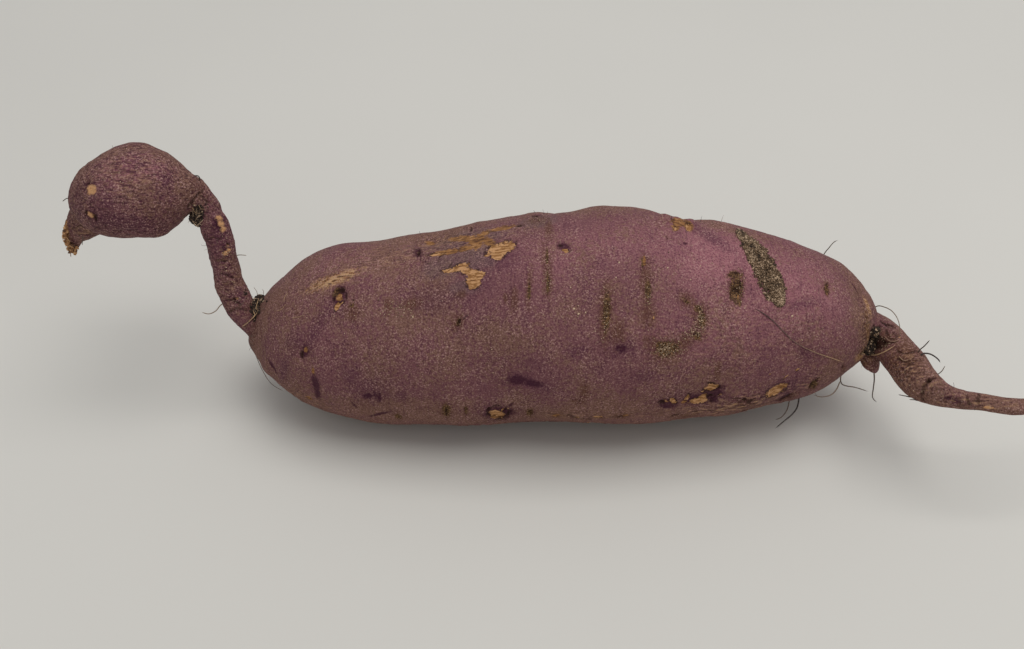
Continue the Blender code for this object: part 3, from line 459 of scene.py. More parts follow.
# Where two forms meet, the skin is smoothed: reach in mm, weight and rounds, and more so at the nape.
JOIN_REACH, JOIN_WEIGHT, JOIN_ROUNDS = 1.2, 0.5, 6
NAPE_REACH, NAPE_WEIGHT, NAPE_ROUNDS = 2.6, 0.6, 45
# Limits in mm, each with the width of its fade; a negative width means below it or left of it. The ends
# are measured from the body's middle.
NAPE_ABOVE, NAPE_LEFT_OF, NAPE_RIGHT_OF = (63.5, 4), (-104, -3), (-124, 6)
HOOK_LEFT_OF, CLEAR_OF_TABLE = (-99, -4), (0.05, 1.5)
BACK_BEHIND, UNDER_BELOW, END_BEYOND, TAIL_BEYOND = (8, 16), (24, -20), (84, 16), (97, 4)
BODY_MIDDLE = 2

# How the skin's grain is stretched round the body and along it.
ROUND_BODY, LENGTHWISE = (1.0, 0.14, 0.14), (0.24, 1.0, 1.0)
# How each kind of mark is painted: size of the noise on its rim in mm, how ragged and how soft the rim
# is, and the strength of its colour.
MARK_PAINT = {
    "violet": (1.6, 2.4, 0.7, 0.55), "weathered": (2.0, 1.6, 0.5, 0.5), "rubbed": (0.9, 2.4, 0.4, 0.85),
    "soiled": (0.8, 2.0, 0.6, 0.72), "graze": (0.9, 1.5, 0.4, 0.8), "earthy": (0.8, 1.9, 0.35, 0.85),
    "ochre": (1.1, 1.7, 0.2, 0.95), "peeled": (0.8, 1.7, 0.07, 1.0), "cork": (0.7, 1.8, 0.45, 0.9),
    "hollow": (0.6, 1.6, 0.45, 0.85),
}
# Loose matter: dark, middle and light display colours, roughness, and sizes of grain and bump in mm.
MATTER = {
    "rootlet": ((52, 44, 40), (96, 80, 68), (150, 124, 98), 0.7, 0.5, 0.05),
    "fibre": ((66, 44, 48), (122, 92, 80), (196, 160, 118), 0.65, 0.4, 0.03),
    "dry soil": ((40, 25, 15), (122, 96, 70), (206, 178, 148), 0.92, 0.4, 0.12),
    "torn cork": ((84, 54, 32), (166, 114, 70), (210, 168, 120), 0.8, 0.6, 0.1),
}

# The table's half width in mm, and the overhead light's place, aim and size in metres.
TABLE_HALF = 1800.0
LIGHT_PLACE, LIGHT_AIM, LIGHT_SIZE = Vector((0.26, -0.02, 1.28)), Vector((0, 0, 0.03)), 1.0
ROOM_COLOUR = (0.95, 0.96, 0.99, 1)


def ramp(values, start, width):
    """0 up to the start and 1 from a width past it, straight between. A negative width turns it round."""
    return np.clip((values - start) / width, 0, 1)


def bell(distance, reach):
    """exp(-(distance / reach)^2)."""
    return np.exp(-(distance / reach) ** 2)


def smooth_line(stations, steps=12):
    """Catmull-Rom curve: each span is the cubic through two stations that leaves them along the chords
    of their neighbours. Place and radius go together."""
    points = np.asarray(stations, float)
    line = np.vstack([2 * points[0] - points[1], points, 2 * points[-1] - points[-2]])
    t = np.linspace(0, 1, steps, endpoint=False)[:, None]
    spans = []
    for a, b, c, d in zip(line, line[1:], line[2:], line[3:]):
        spans.append(0.5 * (2 * b + (c - a) * t + (2 * a - 5 * b + 4 * c - d) * t ** 2
                            + (3 * b - a - 3 * c + d) * t ** 3))
    return np.vstack(spans + [points[-1:]])


def run_of(line):
    """How far along a line each of its points lies."""
    return np.concatenate([[0], np.cumsum(np.linalg.norm(np.diff(line, axis=0), axis=1))])


def evenly(line, count):
    """The same curve read at equal steps of its own length."""
    run = run_of(line)
    places = np.linspace(0, run[-1], count)
    return np.stack([np.interp(places, run, column) for column in line.T], axis=-1)


def ring_axes(middle, side, along=None):
    """Two directions across the line at each ring: second is side less its part along the line, and
    first is the cross product of the line's direction and second."""
    tangent = np.gradient(middle, axis=0) if along is None else np.tile(along, (len(middle), 1))
    tangent = tangent / np.linalg.norm(tangent, axis=1)[:, None]
    side = np.asarray(side, float)
    second = side - (tangent @ side)[:, None] * tangent
    second = second / np.linalg.norm(second, axis=1)[:, None]
    return np.cross(tangent, second), second


def tube(line, sides, side, along=None, lift=None):
    """Points and triangles of a ring carried along a line of x, y, z and radius.

    Point = middle + (radius + lift) * (cos(angle) * first + sin(angle) * second), where lift is a
    function of the line and the angle. A single point closes each end.
    """
    middle, radius = line[:, :3], line[:, 3]
    first, second = ring_axes(middle, side, along)
    angle = np.linspace(0, 2 * np.pi, sides, endpoint=False)[None, :]
    reach = radius[:, None] + (0 * angle if lift is None else lift(line, angle))
    points = (middle[:, None] + (np.cos(angle) * reach)[..., None] * first[:, None]
              + (np.sin(angle) * reach)[..., None] * second[:, None])
    vertices = np.vstack([points[1:-1].reshape(-1, 3), middle[:1], middle[-1:]])
    return vertices, ring_triangles(len(line) - 2, sides)


def ring_triangles(count, sides):
    """Two triangles for each cell between rings, and a fan at each end."""
    ring = np.arange(sides)
    following = (ring + 1) % sides
    start = (np.arange(count - 1) * sides)[:, None]
    a, b = start + ring, start + sides + ring
    c, d = start + sides + following, start + following
    cells = np.concatenate([np.stack([a, b, c], -1).reshape(-1, 3), np.stack([a, c, d], -1).reshape(-1, 3)])
    last = (count - 1) * sides
    near = np.stack([np.full(sides, count * sides), ring, following], axis=-1)
    far = np.stack([np.full(sides, count * sides + 1), last + following, last + ring], axis=-1)
    return np.concatenate([cells, near, far])


def body_lift(swells, dents):
    """Slow sines along and round a form, plus bell-shaped dents, faded out at its ends."""
    def lift(line, angle):
        share = np.linspace(0, 1, len(line))[:, None]
        radius = line[:, 3:4]
        height = np.zeros((len(line), angle.shape[1]))
        for size, waves, round_it, phase in swells:
            height += size * np.sin(2 * np.pi * waves * share + round_it * angle + phase)
        for place, degrees, half_x, half_round, size in dents:
            turn = (angle - math.radians(degrees) + np.pi) % (2 * np.pi) - np.pi
            along = (line[:, :1] - place) / half_x
            height += size * np.exp(-along ** 2 - (turn * radius / half_round) ** 2)
        return height * np.minimum(1, radius / (0.35 * radius.max()))
    return lift


def lumps(points, size, seed):
    """Smooth random heights from -1 to 1: seeded numbers on a lattice of that size in mm, blended
    between the corners of each cell by 3t^2 - 2t^3."""
    lattice = np.random.default_rng(seed).uniform(-1, 1, (LATTICE, LATTICE, LATTICE))
    cell = np.asarray(points) / size + 100.5
    low = np.floor(cell).astype(int)
    t = cell - low
    t = t * t * (3 - 2 * t)
    total = np.zeros(len(cell))
    for corner in np.ndindex(2, 2, 2):
        share = np.prod(np.where(corner, t, 1 - t), axis=1)
        total += share * lattice[tuple(((low + corner) % LATTICE).T)]
    return total


def to_forms(points, block=20000):
    """Signed distance from each point to every form, taken as balls along its line, and how far along
    the nearest form the point lies. Shapes (forms, points) and (points,)."""
    distances, places = np.empty((2, len(FORMS), len(points)))
    for form, (stations, *_) in enumerate(FORMS.values()):
        line = evenly(smooth_line(stations), 170)
        run = run_of(line[:, :3])
        for low in range(0, len(points), block):
            some = points[low:low + block]
            far = np.linalg.norm(some[:, None] - line[None, :, :3], axis=2) - line[:, 3]
            nearest = far.argmin(axis=1)
            distances[form, low:low + block] = far[np.arange(len(some)), nearest]
            places[form, low:low + block] = run[nearest]
    return distances, places[np.abs(distances).argmin(axis=0), np.arange(len(points))]


def add_mesh(name, points, triangles, smooth=True):
    """A mesh object from points in mm and triangles."""
    mesh = bpy.data.meshes.new(name)
    mesh.vertices.add(len(points))
    mesh.vertices.foreach_set("co", (np.asarray(points) * MM).astype(np.float32).ravel())
    mesh.loops.add(3 * len(triangles))
    mesh.loops.foreach_set("vertex_index", np.asarray(triangles, np.int32).ravel())
    mesh.polygons.add(len(triangles))
    mesh.polygons.foreach_set("loop_start", np.arange(0, 3 * len(triangles), 3, dtype=np.int32))
    mesh.update(calc_edges=True)
    mesh.validate()
    if smooth:
        mesh.shade_smooth()
    thing = bpy.data.objects.new(name, mesh)
    bpy.context.scene.collection.objects.link(thing)
    return thing


def store(mesh, label, numbers):
    """Keep one number for each point of a mesh under a name that materials can read."""
    layer = mesh.attributes.new(label, "FLOAT", "POINT")
    layer.data.foreach_set("value", np.asarray(numbers, np.float32))


def read_points(mesh, of="vertices", what="co"):
    """Points or normals of a mesh as an array."""
    source = getattr(mesh, of)
    numbers = np.empty(len(source) * 3, np.float32)
    source.foreach_get(what, numbers)
    return numbers.reshape(-1, 3).astype(float)


def write_points(mesh, places):
    """Put places in metres into a mesh."""
    mesh.vertices.foreach_set("co", places.astype(np.float32).ravel())
    mesh.update()


def unite(pieces):
    """Join closed pieces into one by a Boolean union and return the one object."""
    group = bpy.data.collections.new("forms")
    for piece in pieces[1:]:
        group.objects.link(piece)
    boolean = pieces[0].modifiers.new("unite", "BOOLEAN")
    boolean.operation = "UNION"
    boolean.operand_type = "COLLECTION"
    boolean.collection = group
    boolean.solver = "MANIFOLD"
    mesh = bpy.data.meshes.new_from_object(pieces[0].evaluated_get(bpy.context.evaluated_depsgraph_get()))
    pieces[0].modifiers.clear()
    pieces[0].data = mesh
    for piece in pieces[1:]:
        bpy.data.objects.remove(piece)
    bpy.data.collections.remove(group)
    return pieces[0]


def relax(mesh, points, weight, rounds):
    """Move points towards the mean of their neighbours by their weight, that many times over."""
    ends = np.empty(len(mesh.edges) * 2, np.int32)
    mesh.edges.foreach_get("vertices", ends)
    one, other = ends.reshape(-1, 2).T
    count = np.bincount(one, minlength=len(points)) + np.bincount(other, minlength=len(points))
    for _ in range(rounds):
        total = np.stack([np.bincount(one, points[other, k], len(points))
                          + np.bincount(other, points[one, k], len(points)) for k in range(3)], axis=-1)
        points = points + weight[:, None] * (total / count[:, None] - points)
    return points


def on_skin(tree, x, y):
    """Where the camera's ray through a pixel meets the skin: place in mm and outward direction, or None
    where it passes the skin by."""
    ray = FORWARD + RIGHT * (x - PICTURE_WIDTH / 2) / FOCAL - UP * (y - PICTURE_HEIGHT / 2) / FOCAL
    place, normal, _, _ = tree.ray_cast(Vector(CAMERA_PLACE * MM), Vector(ray))
    if place is None:
        return None
    return np.array(place) / MM, np.array(normal)


def near_pixel(tree, rng, x, y, half_width, half_height, spread=0.5):
    """Where the skin shows at a pixel drawn at random round the one given: normal steps of a spread in
    shares of the half sizes."""
    return on_skin(tree, x + half_width * rng.normal(0, spread), y + half_height * rng.normal(0, spread))


def off_skin(tree, pixels, lift):
    """Places that stand a height in mm off the skin at those pixels that show it."""
    hits = [on_skin(tree, x, y) for x, y in pixels]
    return [place + normal * lift for place, normal in filter(None, hits)]


def picture_marks(tree, rows):
    """Marks laid on the skin from the picture: centre and a matrix that turns a step from it, in mm,
    into shares of the mark's half sizes across and up the picture, and of its depth."""
    found = []
    for x, y, half_width, half_height, turn in rows:
        hit = on_skin(tree, x, y)
        if hit is None:
            continue
        place, normal = hit
        scale = (place - CAMERA_PLACE) @ FORWARD / FOCAL
        c, s = math.cos(math.radians(turn)), math.sin(math.radians(turn))
        depth = 2.5 + 0.6 * scale * max(half_width, half_height)
        found.append((place, np.array([(c * RIGHT + s * UP) / (half_width * scale),
                                       (c * UP - s * RIGHT) / (half_height * scale), normal / depth])))
    return found


def far_marks(tree, kind, rng):
    """Seeded marks on the side that the picture doesn't show, laid on the skin from its middle line."""
    count, along_range, round_range = FAR_MARKS[kind]
    line = smooth_line(BODY)
    found = []
    for _ in range(count):
        x, angle = rng.uniform(*FAR_X), math.radians(rng.uniform(*FAR_DEGREES))
        out = np.array([0, math.sin(angle), math.cos(angle)])
        middle = np.array([x] + [np.interp(x, line[:, 0], line[:, column]) for column in (1, 2)])
        place, _, _, _ = tree.ray_cast(Vector(middle * MM), Vector(out))
        along, half_round = rng.uniform(*along_range), rng.uniform(*round_range)
        turn = rng.uniform(-FAR_TURN, FAR_TURN)
        across = np.cross(X_AXIS, out)
        first = math.cos(turn) * np.array(X_AXIS) + math.sin(turn) * across
        second = math.cos(turn) * across - math.sin(turn) * np.array(X_AXIS)
        found.append((np.array(place) / MM, np.array([first / along, second / half_round, out / FAR_DEPTH])))
    return found


def reach_of(points, marks):
    """For each point the least distance to a mark's centre, in shares of that mark's half sizes: 0 at
    the centre, 1 on the rim, and never more than FAR_REACH."""
    reach = np.full(len(points), FAR_REACH)
    for centre, turn_and_scale in marks:
        local = (points - centre) @ turn_and_scale.T
        reach = np.minimum(reach, np.linalg.norm(local, axis=1))
    return reach


def soft_field(tree, points, kind):
    """Sum of bells: each row's amount times exp(-reach^2), with its reach as for a mark."""
    total = np.zeros(len(points))
    for *row, amount in FIELDS[kind]:
        for mark in picture_marks(tree, [row]):
            total += amount * bell(reach_of(points, [mark]), 1)
    return total


def crease_marks(tree, points):
    """How deep each point lies in the creases, in mm, and its least distance to one, in shares of that
    crease's half width and never more than FAR_REACH. The depth falls off as a bell."""
    depth, reach = np.zeros(len(points)), np.full(len(points), FAR_REACH)
    for pixels, half_width, deep in CREASES:
        line = evenly(smooth_line(off_skin(tree, pixels, 0)), CREASE_STEPS)
        near = np.flatnonzero(np.linalg.norm(points - line.mean(axis=0), axis=1) < CREASE_NEAR)
        gap = np.linalg.norm(points[near, None] - line[None], axis=2).min(axis=1)
        gap += 0.2 * lumps(points[near], 1.2, 9)
        depth[near] = np.maximum(depth[near], deep * bell(gap, max(half_width, 0.5)))
        reach[near] = np.minimum(reach[near], np.maximum(gap, 0) / half_width)
    return depth, reach


def fine_relief(points, along, thickness, hook, reaches):
    """Height of the fine relief in mm: lumps of four sizes, wrinkles across each form, long wrinkles
    on the hook, furrows round the body, and each mark's floor and rim."""
    bulk = np.clip(thickness / 12, 0.25, 1)
    height = bulk * sum(high * lumps(points, size, seed) for size, high, seed in COARSE_LUMPS)
    height += (0.4 + 0.6 * bulk) * sum(high * lumps(points, size, seed) for size, high, seed in FINE_LUMPS)
    wrinkle = np.stack([along / 1.0, points[:, 1] / 9, points[:, 2] / 9], axis=-1)
    height += WRINKLE_HEIGHT * lumps(wrinkle, 1, 5) * (0.6 + lumps(points, 17, 6))
    height += HOOK_WRINKLE_HEIGHT * hook * lumps(points / (3.4, 0.9, 0.9), 1, 10)
    furrow = np.stack([along / 2.2, points[:, 1] / 16, points[:, 2] / 16], axis=-1)
    height -= FURROW_DEPTH * bulk * ramp(lumps(furrow, 1, 7), 0.42, 1) ** 0.8
    for kind, (floor, rim) in MARK_RELIEF.items():
        ragged = reaches[kind] + RIM_RAGGED * lumps(points, RIM_LUMP, 8)
        inside = 1 / (1 + np.exp((ragged - 0.95) * 9))
        height += floor * inside + rim * bell(ragged - 1.2, 0.22)
    return height


def tapered(places, thickness, count):
    """A line of x, y, z and radius through places, thinning to six tenths at the end and rounded off
    at both."""
    line = evenly(smooth_line([(*place, 0) for place in places]), count)
    share = np.linspace(0, 1, count)
    rounded = np.minimum(1, 12 * np.minimum(share, 1 - share) + 0.02)
    line[:, 3] = 0.5 * thickness * (1 - 0.4 * share) * rounded
    return line


def strand(places, thickness, count=26, sides=7):
    """Points and triangles of a thin root through places. Its side direction is across its chord."""
    side = np.cross(np.subtract(places[-1], places[0]), (0.2, 0.5, 1))
    return tube(tapered(places, thickness, count), sides, side / np.linalg.norm(side))


def icosahedron():
    """Corners and sides of a regular twenty-sided body, with its corners 1 from its middle."""
    g = (1 + 5 ** 0.5) / 2
    corners = np.array([(0, a, b * g) for a in (-1, 1) for b in (-1, 1)])
    corners = np.concatenate([corners, np.roll(corners, 1, axis=1), np.roll(corners, 2, axis=1)])
    corners = corners / np.linalg.norm(corners[0])
    sides = []
    for i, j, k in combinations(range(12), 3):
        trio = corners[[i, j, k]]
        if max(np.linalg.norm(trio - np.roll(trio, 1, axis=0), axis=1)) < 1.1:
            outwards = np.dot(np.cross(trio[1] - trio[0], trio[2] - trio[0]), trio.sum(axis=0)) > 0
            sides.append((i, j, k) if outwards else (i, k, j))
    return corners, np.array(sides)


def grains(places, sizes, rng, stretch=(1, 1, 1)):
    """Points, triangles and tones of uneven twenty-sided grains, each turned at random.

    A grain is an icosahedron whose corners are pushed in or out by up to a third.
    """
    corners, sides = icosahedron()
    count = len(places)
    spin = np.linalg.qr(rng.normal(size=(count, 3, 3)))[0]
    spin *= np.sign(np.linalg.det(spin))[:, None, None]
    shape = corners * rng.uniform(0.72, 1.28, (count, 12, 1))
    shape = shape * rng.uniform(0.7, 1.3, (count, 1, 3)) * stretch
    points = np.einsum("nij,nkj->nki", spin, shape) * np.asarray(sizes)[:, None, None] + places[:, None]
    triangles = sides[None] + (np.arange(count) * 12)[:, None, None]
    tone = np.repeat(rng.uniform(0, 1, count), 12)
    return points.reshape(-1, 3), triangles.reshape(-1, 3), tone


def display(red, green, blue):
    """Linear colour from display values of 0 to 255."""
    value = np.array([red, green, blue]) / 255
    return tuple(np.where(value <= 0.04045, value / 12.92, ((value + 0.055) / 1.055) ** 2.4))


def socket(sockets, label):
    """A node's socket by its number, or by its identifier or name."""
    if isinstance(label, int):
        return sockets[label]
    return next(s for s in sockets if label in (s.identifier, s.name))


def feed(tree, node, inputs):
    """Link or set a node's inputs: label to socket or value."""
    for label, value in inputs.items():
        target = socket(node.inputs, label)
        if isinstance(value, bpy.types.NodeSocket):
            tree.links.new(value, target)
        elif target.type == "RGBA" and len(value) == 3:
            target.default_value = (*value, 1)
        else:
            target.default_value = value


def put(tree, kind, inputs=None, out=0, **settings):
    """Add a node, feed it, and return one of its outputs."""
    node = tree.nodes.new(kind)
    for label, value in settings.items():
        setattr(node, label, value)
    feed(tree, node, inputs or {})
    return socket(node.outputs, out)


def math_of(tree, operation, *values, clamp=False):
    """The result of one Math node."""
    return put(tree, "ShaderNodeMath", dict(enumerate(values)), operation=operation, use_clamp=clamp)


def times(tree, one, other):
    """One value times the other."""
    return math_of(tree, "MULTIPLY", one, other)


def times_plus(tree, one, other, more, clamp=False):
    """One value times the other, plus more."""
    return math_of(tree, "MULTIPLY_ADD", one, other, more, clamp=clamp)


def blend_colours(tree, share, one, other):
    """Colour that goes from one to the other by a share."""
    return put(tree, "ShaderNodeMix", {"Factor_Float": share, "A_Color": one, "B_Color": other},
               out="Result_Color", data_type="RGBA", clamp_factor=True)


def noise_of(tree, place, scale, detail=3.0, roughness=0.5):
    """Fractal noise from 0 to 1."""
    return put(tree, "ShaderNodeTexNoise", {"Vector": place, "Scale": scale, "Detail": detail,
                                            "Roughness": roughness}, out="Fac")


def spread_of(tree, value, low, high, lowest=0.0, highest=1.0, kind="LINEAR"):
    """A value carried from low and high to lowest and highest, and held there beyond them."""
    return put(tree, "ShaderNodeMapRange",
               {"Value": value, "From Min": low, "From Max": high, "To Min": lowest, "To Max": highest},
               out="Result", interpolation_type=kind)


def step_of(tree, value, low, high):
    """0 up to low and 1 from high, along a smooth step."""
    return spread_of(tree, value, low, high, kind="SMOOTHSTEP")


def new_group(name, numbers):
    """An empty node group with a Place, numbers with their defaults, and a Mask as its output. Its size
    in mm is also given as a scale."""
    tree = bpy.data.node_groups.new(name, "ShaderNodeTree")
    tree.interface.new_socket(name="Place", in_out="INPUT", socket_type="NodeSocketVector")
    for label, default in numbers.items():
        made = tree.interface.new_socket(name=label, in_out="INPUT", socket_type="NodeSocketFloat")
        made.default_value = default
    tree.interface.new_socket(name="Mask", in_out="OUTPUT", socket_type="NodeSocketFloat")
    given, result = tree.nodes.new("NodeGroupInput").outputs, tree.nodes.new("NodeGroupOutput").inputs
    return tree, given, result, math_of(tree, "DIVIDE", 1000.0, given["Size mm"])


def blotch_group():
    """Soft blotches: noise of a size in mm, cut between two levels."""
    tree, given, result, scale = new_group("Blotches", {"Size mm": 5.0, "Detail": 3.0, "Low": 0.4,
                                                        "High": 0.6})
    noise = noise_of(tree, given["Place"], scale, given["Detail"])
    tree.links.new(step_of(tree, noise, given["Low"], given["High"]), result["Mask"])
    return tree


def mark_group():
    """A mark's mask from its reach: 1 within the rim, with the rim moved in and out by noise."""
    tree, given, result, scale = new_group("Ragged Mark", {"Reach": 3.0, "Size mm": 1.2, "Raggedness": 0.8,
                                                           "Softness": 0.12})
    noise = noise_of(tree, given["Place"], scale, 4.0, 0.65)
    shift = times(tree, math_of(tree, "SUBTRACT", noise, 0.5), given["Raggedness"])
    edge = math_of(tree, "ADD", given["Reach"], shift)
    outer = math_of(tree, "ADD", 1.0, given["Softness"])
    inner = math_of(tree, "SUBTRACT", 1.0, given["Softness"])
    tree.links.new(step_of(tree, edge, outer, inner), result["Mask"])
    return tree


def grit_group():
    """Fine specks: the middles of cells of a size in mm, on a share of the cells."""
    tree, given, result, scale = new_group("Grit", {"Size mm": 0.6, "Share": 0.2, "Spread": 0.35})
    cells = tree.nodes.new("ShaderNodeTexVoronoi")
    feed(tree, cells, {"Vector": given["Place"], "Scale": scale})
    near = spread_of(tree, cells.outputs["Distance"], given["Spread"], 0.05)
    luck = put(tree, "ShaderNodeSeparateColor", {"Color": cells.outputs["Color"]}, out="Red")
    chosen = math_of(tree, "LESS_THAN", luck, given["Share"])
    tree.links.new(times(tree, near, chosen), result["Mask"])
    return tree


GROUPS = {"Blotches": blotch_group, "Ragged Mark": mark_group, "Grit": grit_group}


def use_group(tree, name, **inputs):
    """Place a shared group, made once, and return its mask. Underscores in labels stand for spaces."""
    group = bpy.data.node_groups.get(name) or GROUPS[name]()
    return put(tree, "ShaderNodeGroup", {label.replace("_", " "): value for label, value in inputs.items()},
               node_tree=group)


def new_material(name, roughness):
    """A material with a Principled shader: its tree, shader and Object coordinates."""
    material = bpy.data.materials.new(name)
    material.use_nodes = True
    tree = material.node_tree
    shader = tree.nodes["Principled BSDF"]
    shader.inputs["Roughness"].default_value = roughness
    place = put(tree, "ShaderNodeTexCoord", out="Object")
    return material, tree, shader, place


def value_of(tree, label):
    """A number stored on the mesh's points."""
    return put(tree, "ShaderNodeAttribute", out="Fac", attribute_name=label)


def stretched(tree, place, scale):
    """The coordinates times a scale for each axis."""
    return put(tree, "ShaderNodeVectorMath", {0: place, 1: scale}, operation="MULTIPLY")


def skin_material(look):
    """Mauve skin under brown scurf, with fine grain and specks, and every kind of mark over it."""
    material, tree, shader, place = new_material("skin", 0.7)
    round_body, lengthwise = stretched(tree, place, ROUND_BODY), stretched(tree, place, LENGTHWISE)
    hook, dust, blush, bark = (value_of(tree, label) for label in ("hook", "dust", "blush", "bark"))

    def noise(size_mm, detail=3.0, at=place, roughness=0.5):
        return noise_of(tree, at, 1000 / size_mm, detail, roughness)

    def blot(size, low, high, detail=3.0, at=place):
        return use_group(tree, "Blotches", Place=at, Size_mm=size, Detail=detail, Low=low, High=high)

    def reach_mask(kind, size, ragged, softness, wider=0.0):
        reach = math_of(tree, "SUBTRACT", value_of(tree, kind), wider)
        return use_group(tree, "Ragged Mark", Reach=reach, Place=place, Size_mm=size, Raggedness=ragged,
                         Softness=softness)

    def fibrous(size_mm, at, dark, middle, pale, low, high):
        grain = noise(size_mm, 4.0, at, 0.7)
        tone = blend_colours(tree, step_of(tree, grain, low - 0.05, low + 0.05), dark, middle)
        return blend_colours(tree, step_of(tree, grain, high - 0.05, high + 0.05), tone, pale)

    tooth = noise(0.5, 4.0, roughness=0.65)
    clouds = math_of(tree, "SUBTRACT", noise(13.0, 4.0), 0.5)
    scurf = times_plus(tree, clouds, 0.55, noise(1.0, 6.0, roughness=0.75))
    # Where the highlight is painted, the scurf thins and the straw grain and bright specks come out more.
    scurf = times_plus(tree, blush, -0.035, times_plus(tree, dust, 0.17, scurf))
    dry = step_of(tree, scurf, 0.36, 0.66)
    pale = times_plus(tree, blush, 0.2, times_plus(tree, dry, 0.33, 0.4))
    pale = times_plus(tree, hook, 0.25, pale)
    pale = times(tree, pale, times_plus(tree, blot(7.0, 0.4, 0.6), 0.6, 0.68))
    dark_tooth = step_of(tree, times_plus(tree, blush, -0.02, tooth), 0.49, 0.3)
    # Thin lines along the hook's wrinkles, sunk in the relief and painted dark: partly painted shade in the
    # wrinkles.
    dashes = times(tree, blot(0.6, 0.5, 0.62, 3.0, lengthwise), hook)
    specks = use_group(tree, "Grit", Place=place, Size_mm=0.75, Share=0.14, Spread=0.34)
    bright = times_plus(tree, blush, 0.6, dry, clamp=True)
    strokes = noise(0.75, 3.0, lengthwise, 0.6)
    torn_rim = times(tree, reach_mask("peeled", 0.95, 1.7, 0.25, wider=0.35), blot(2.2, 0.42, 0.56, 2.0))
    # Creases are sunk in the relief and painted darker: painted shade in the creases.
    crease = step_of(tree, value_of(tree, "crease"), 1.3, 0.4)
    masks = {kind: reach_mask(kind, *numbers) for kind, (*numbers, _) in MARK_PAINT.items()}

    def painted(kind, colour):
        return colour, masks[kind], MARK_PAINT[kind][-1]

    dark, golden = look.soil, look.flesh_dark
    layers = [
        (look.violet, blot(9.0, 0.5, 0.72, 5.0), 0.35),
        (look.brown, step_of(tree, scurf, 0.44, 0.66), 0.85),
        painted("violet", look.violet),
        painted("weathered", look.weathered),
        painted("rubbed", fibrous(0.8, lengthwise, dark, golden, look.dry, 0.36, 0.5)),
        painted("soiled", look.soil),
        (look.violet, blot(0.8, 0.5, 0.68, 2.0, round_body), 0.3),
        (look.straw, times(tree, step_of(tree, tooth, 0.5, 0.68), pale), 1.0),
        (look.graze, dark_tooth, 0.72),
        # Dark wrinkle lines on the hook, partly painted shade in them.
        (look.graze, dashes, 0.6),
        (look.grit, times(tree, specks, bright), 0.62),
        painted("graze", look.graze),
        (look.dry, times(tree, step_of(tree, strokes, 0.54, 0.63), bark), 0.5),
        (look.hollow, times(tree, step_of(tree, strokes, 0.47, 0.38), bark), 0.75),
        painted("earthy", fibrous(0.5, place, look.hollow, look.olive, golden, 0.47, 0.6)),
        painted("ochre", fibrous(0.8, lengthwise, dark, golden, look.flesh, 0.46, 0.62)),
        (look.hollow, torn_rim, 0.7),
        painted("peeled", fibrous(0.7, lengthwise, dark, golden, look.flesh, 0.36, 0.5)),
        painted("cork", fibrous(0.5, place, golden, look.cork, look.dry, 0.38, 0.56)),
        # Pits, cracks and crevices painted dark, partly as painted shade.
        painted("hollow", look.hollow),
        # Painted shade along the creases.
        (look.hollow, crease, 0.6),
    ]
    # Mauve turns pink where the skin is pinker and where a highlight is painted along the top.
    colour = blend_colours(tree, blush, look.mauve, look.pink)
    for coat, mask, strength in layers:
        colour = blend_colours(tree, times(tree, mask, strength), colour, coat)

    height = times_plus(tree, noise(1.1, 4.0, round_body), 0.8, tooth)
    for relief, amount in ((scurf, 0.5), (dashes, -0.6), (masks["peeled"], -1.2), (masks["hollow"], -1.0),
                           (crease, -1.2)):
        height = times_plus(tree, relief, amount, height)
    feed(tree, shader, {
        "Base Color": colour, "Specular IOR Level": 0.1,
        "Normal": put(tree, "ShaderNodeBump", {"Height": height, "Strength": 0.7, "Distance": 0.00026}),
        "Roughness": spread_of(tree, scurf, 0.3, 0.7, 0.56, 0.86)})
    return material


def matter(name):
    """Matter whose bits run from dark to light by their stored tone, with fine noise over it."""
    found = bpy.data.materials.get(name)
    if found:
        return found
    *colours, roughness, grain_mm, bump_mm = MATTER[name]
    dark, middle, light = (display(*values) for values in colours)
    material, tree, shader, place = new_material(name, roughness)
    speckle = noise_of(tree, place, 1000 / grain_mm)
    share = times_plus(tree, math_of(tree, "SUBTRACT", speckle, 0.5), 0.7, value_of(tree, "tone"))
    colour = blend_colours(tree, spread_of(tree, share, 0.0, 0.55), dark, middle)
    colour = blend_colours(tree, spread_of(tree, share, 0.5, 1.0), colour, light)
    dust = use_group(tree, "Grit", Place=place, Size_mm=0.35, Share=0.25, Spread=0.4)
    damp = use_group(tree, "Blotches", Place=place, Size_mm=1.5, Low=0.35, High=0.7)
    bump = put(tree, "ShaderNodeBump", {"Height": speckle, "Strength": 0.6, "Distance": bump_mm * MM})
    feed(tree, shader, {
        "Base Color": blend_colours(tree, times(tree, dust, 0.35), colour, light), "Normal": bump,
        "Roughness": spread_of(tree, damp, 0.0, 1.0, roughness - 0.1, min(1, roughness + 0.05))})
    return material


def floor_material(look):
    """A plain pale matt table with the faintest unevenness."""
    material, tree, shader, place = new_material("pale table", 0.6)
    cloud = use_group(tree, "Blotches", Place=place, Size_mm=260.0, Low=0.3, High=0.75)
    shade = tuple(0.97 * value for value in look.floor)
    feed(tree, shader, {"Base Color": blend_colours(tree, cloud, look.floor, shade),
                        "Specular IOR Level": 0.25})
    return material


def colour_property(name, description, values):
    """A colour that a user may change, with its default in display values."""
    return FloatVectorProperty(name=name, description=description, subtype="COLOR", size=3, min=0, max=1,
                               default=display(*values))


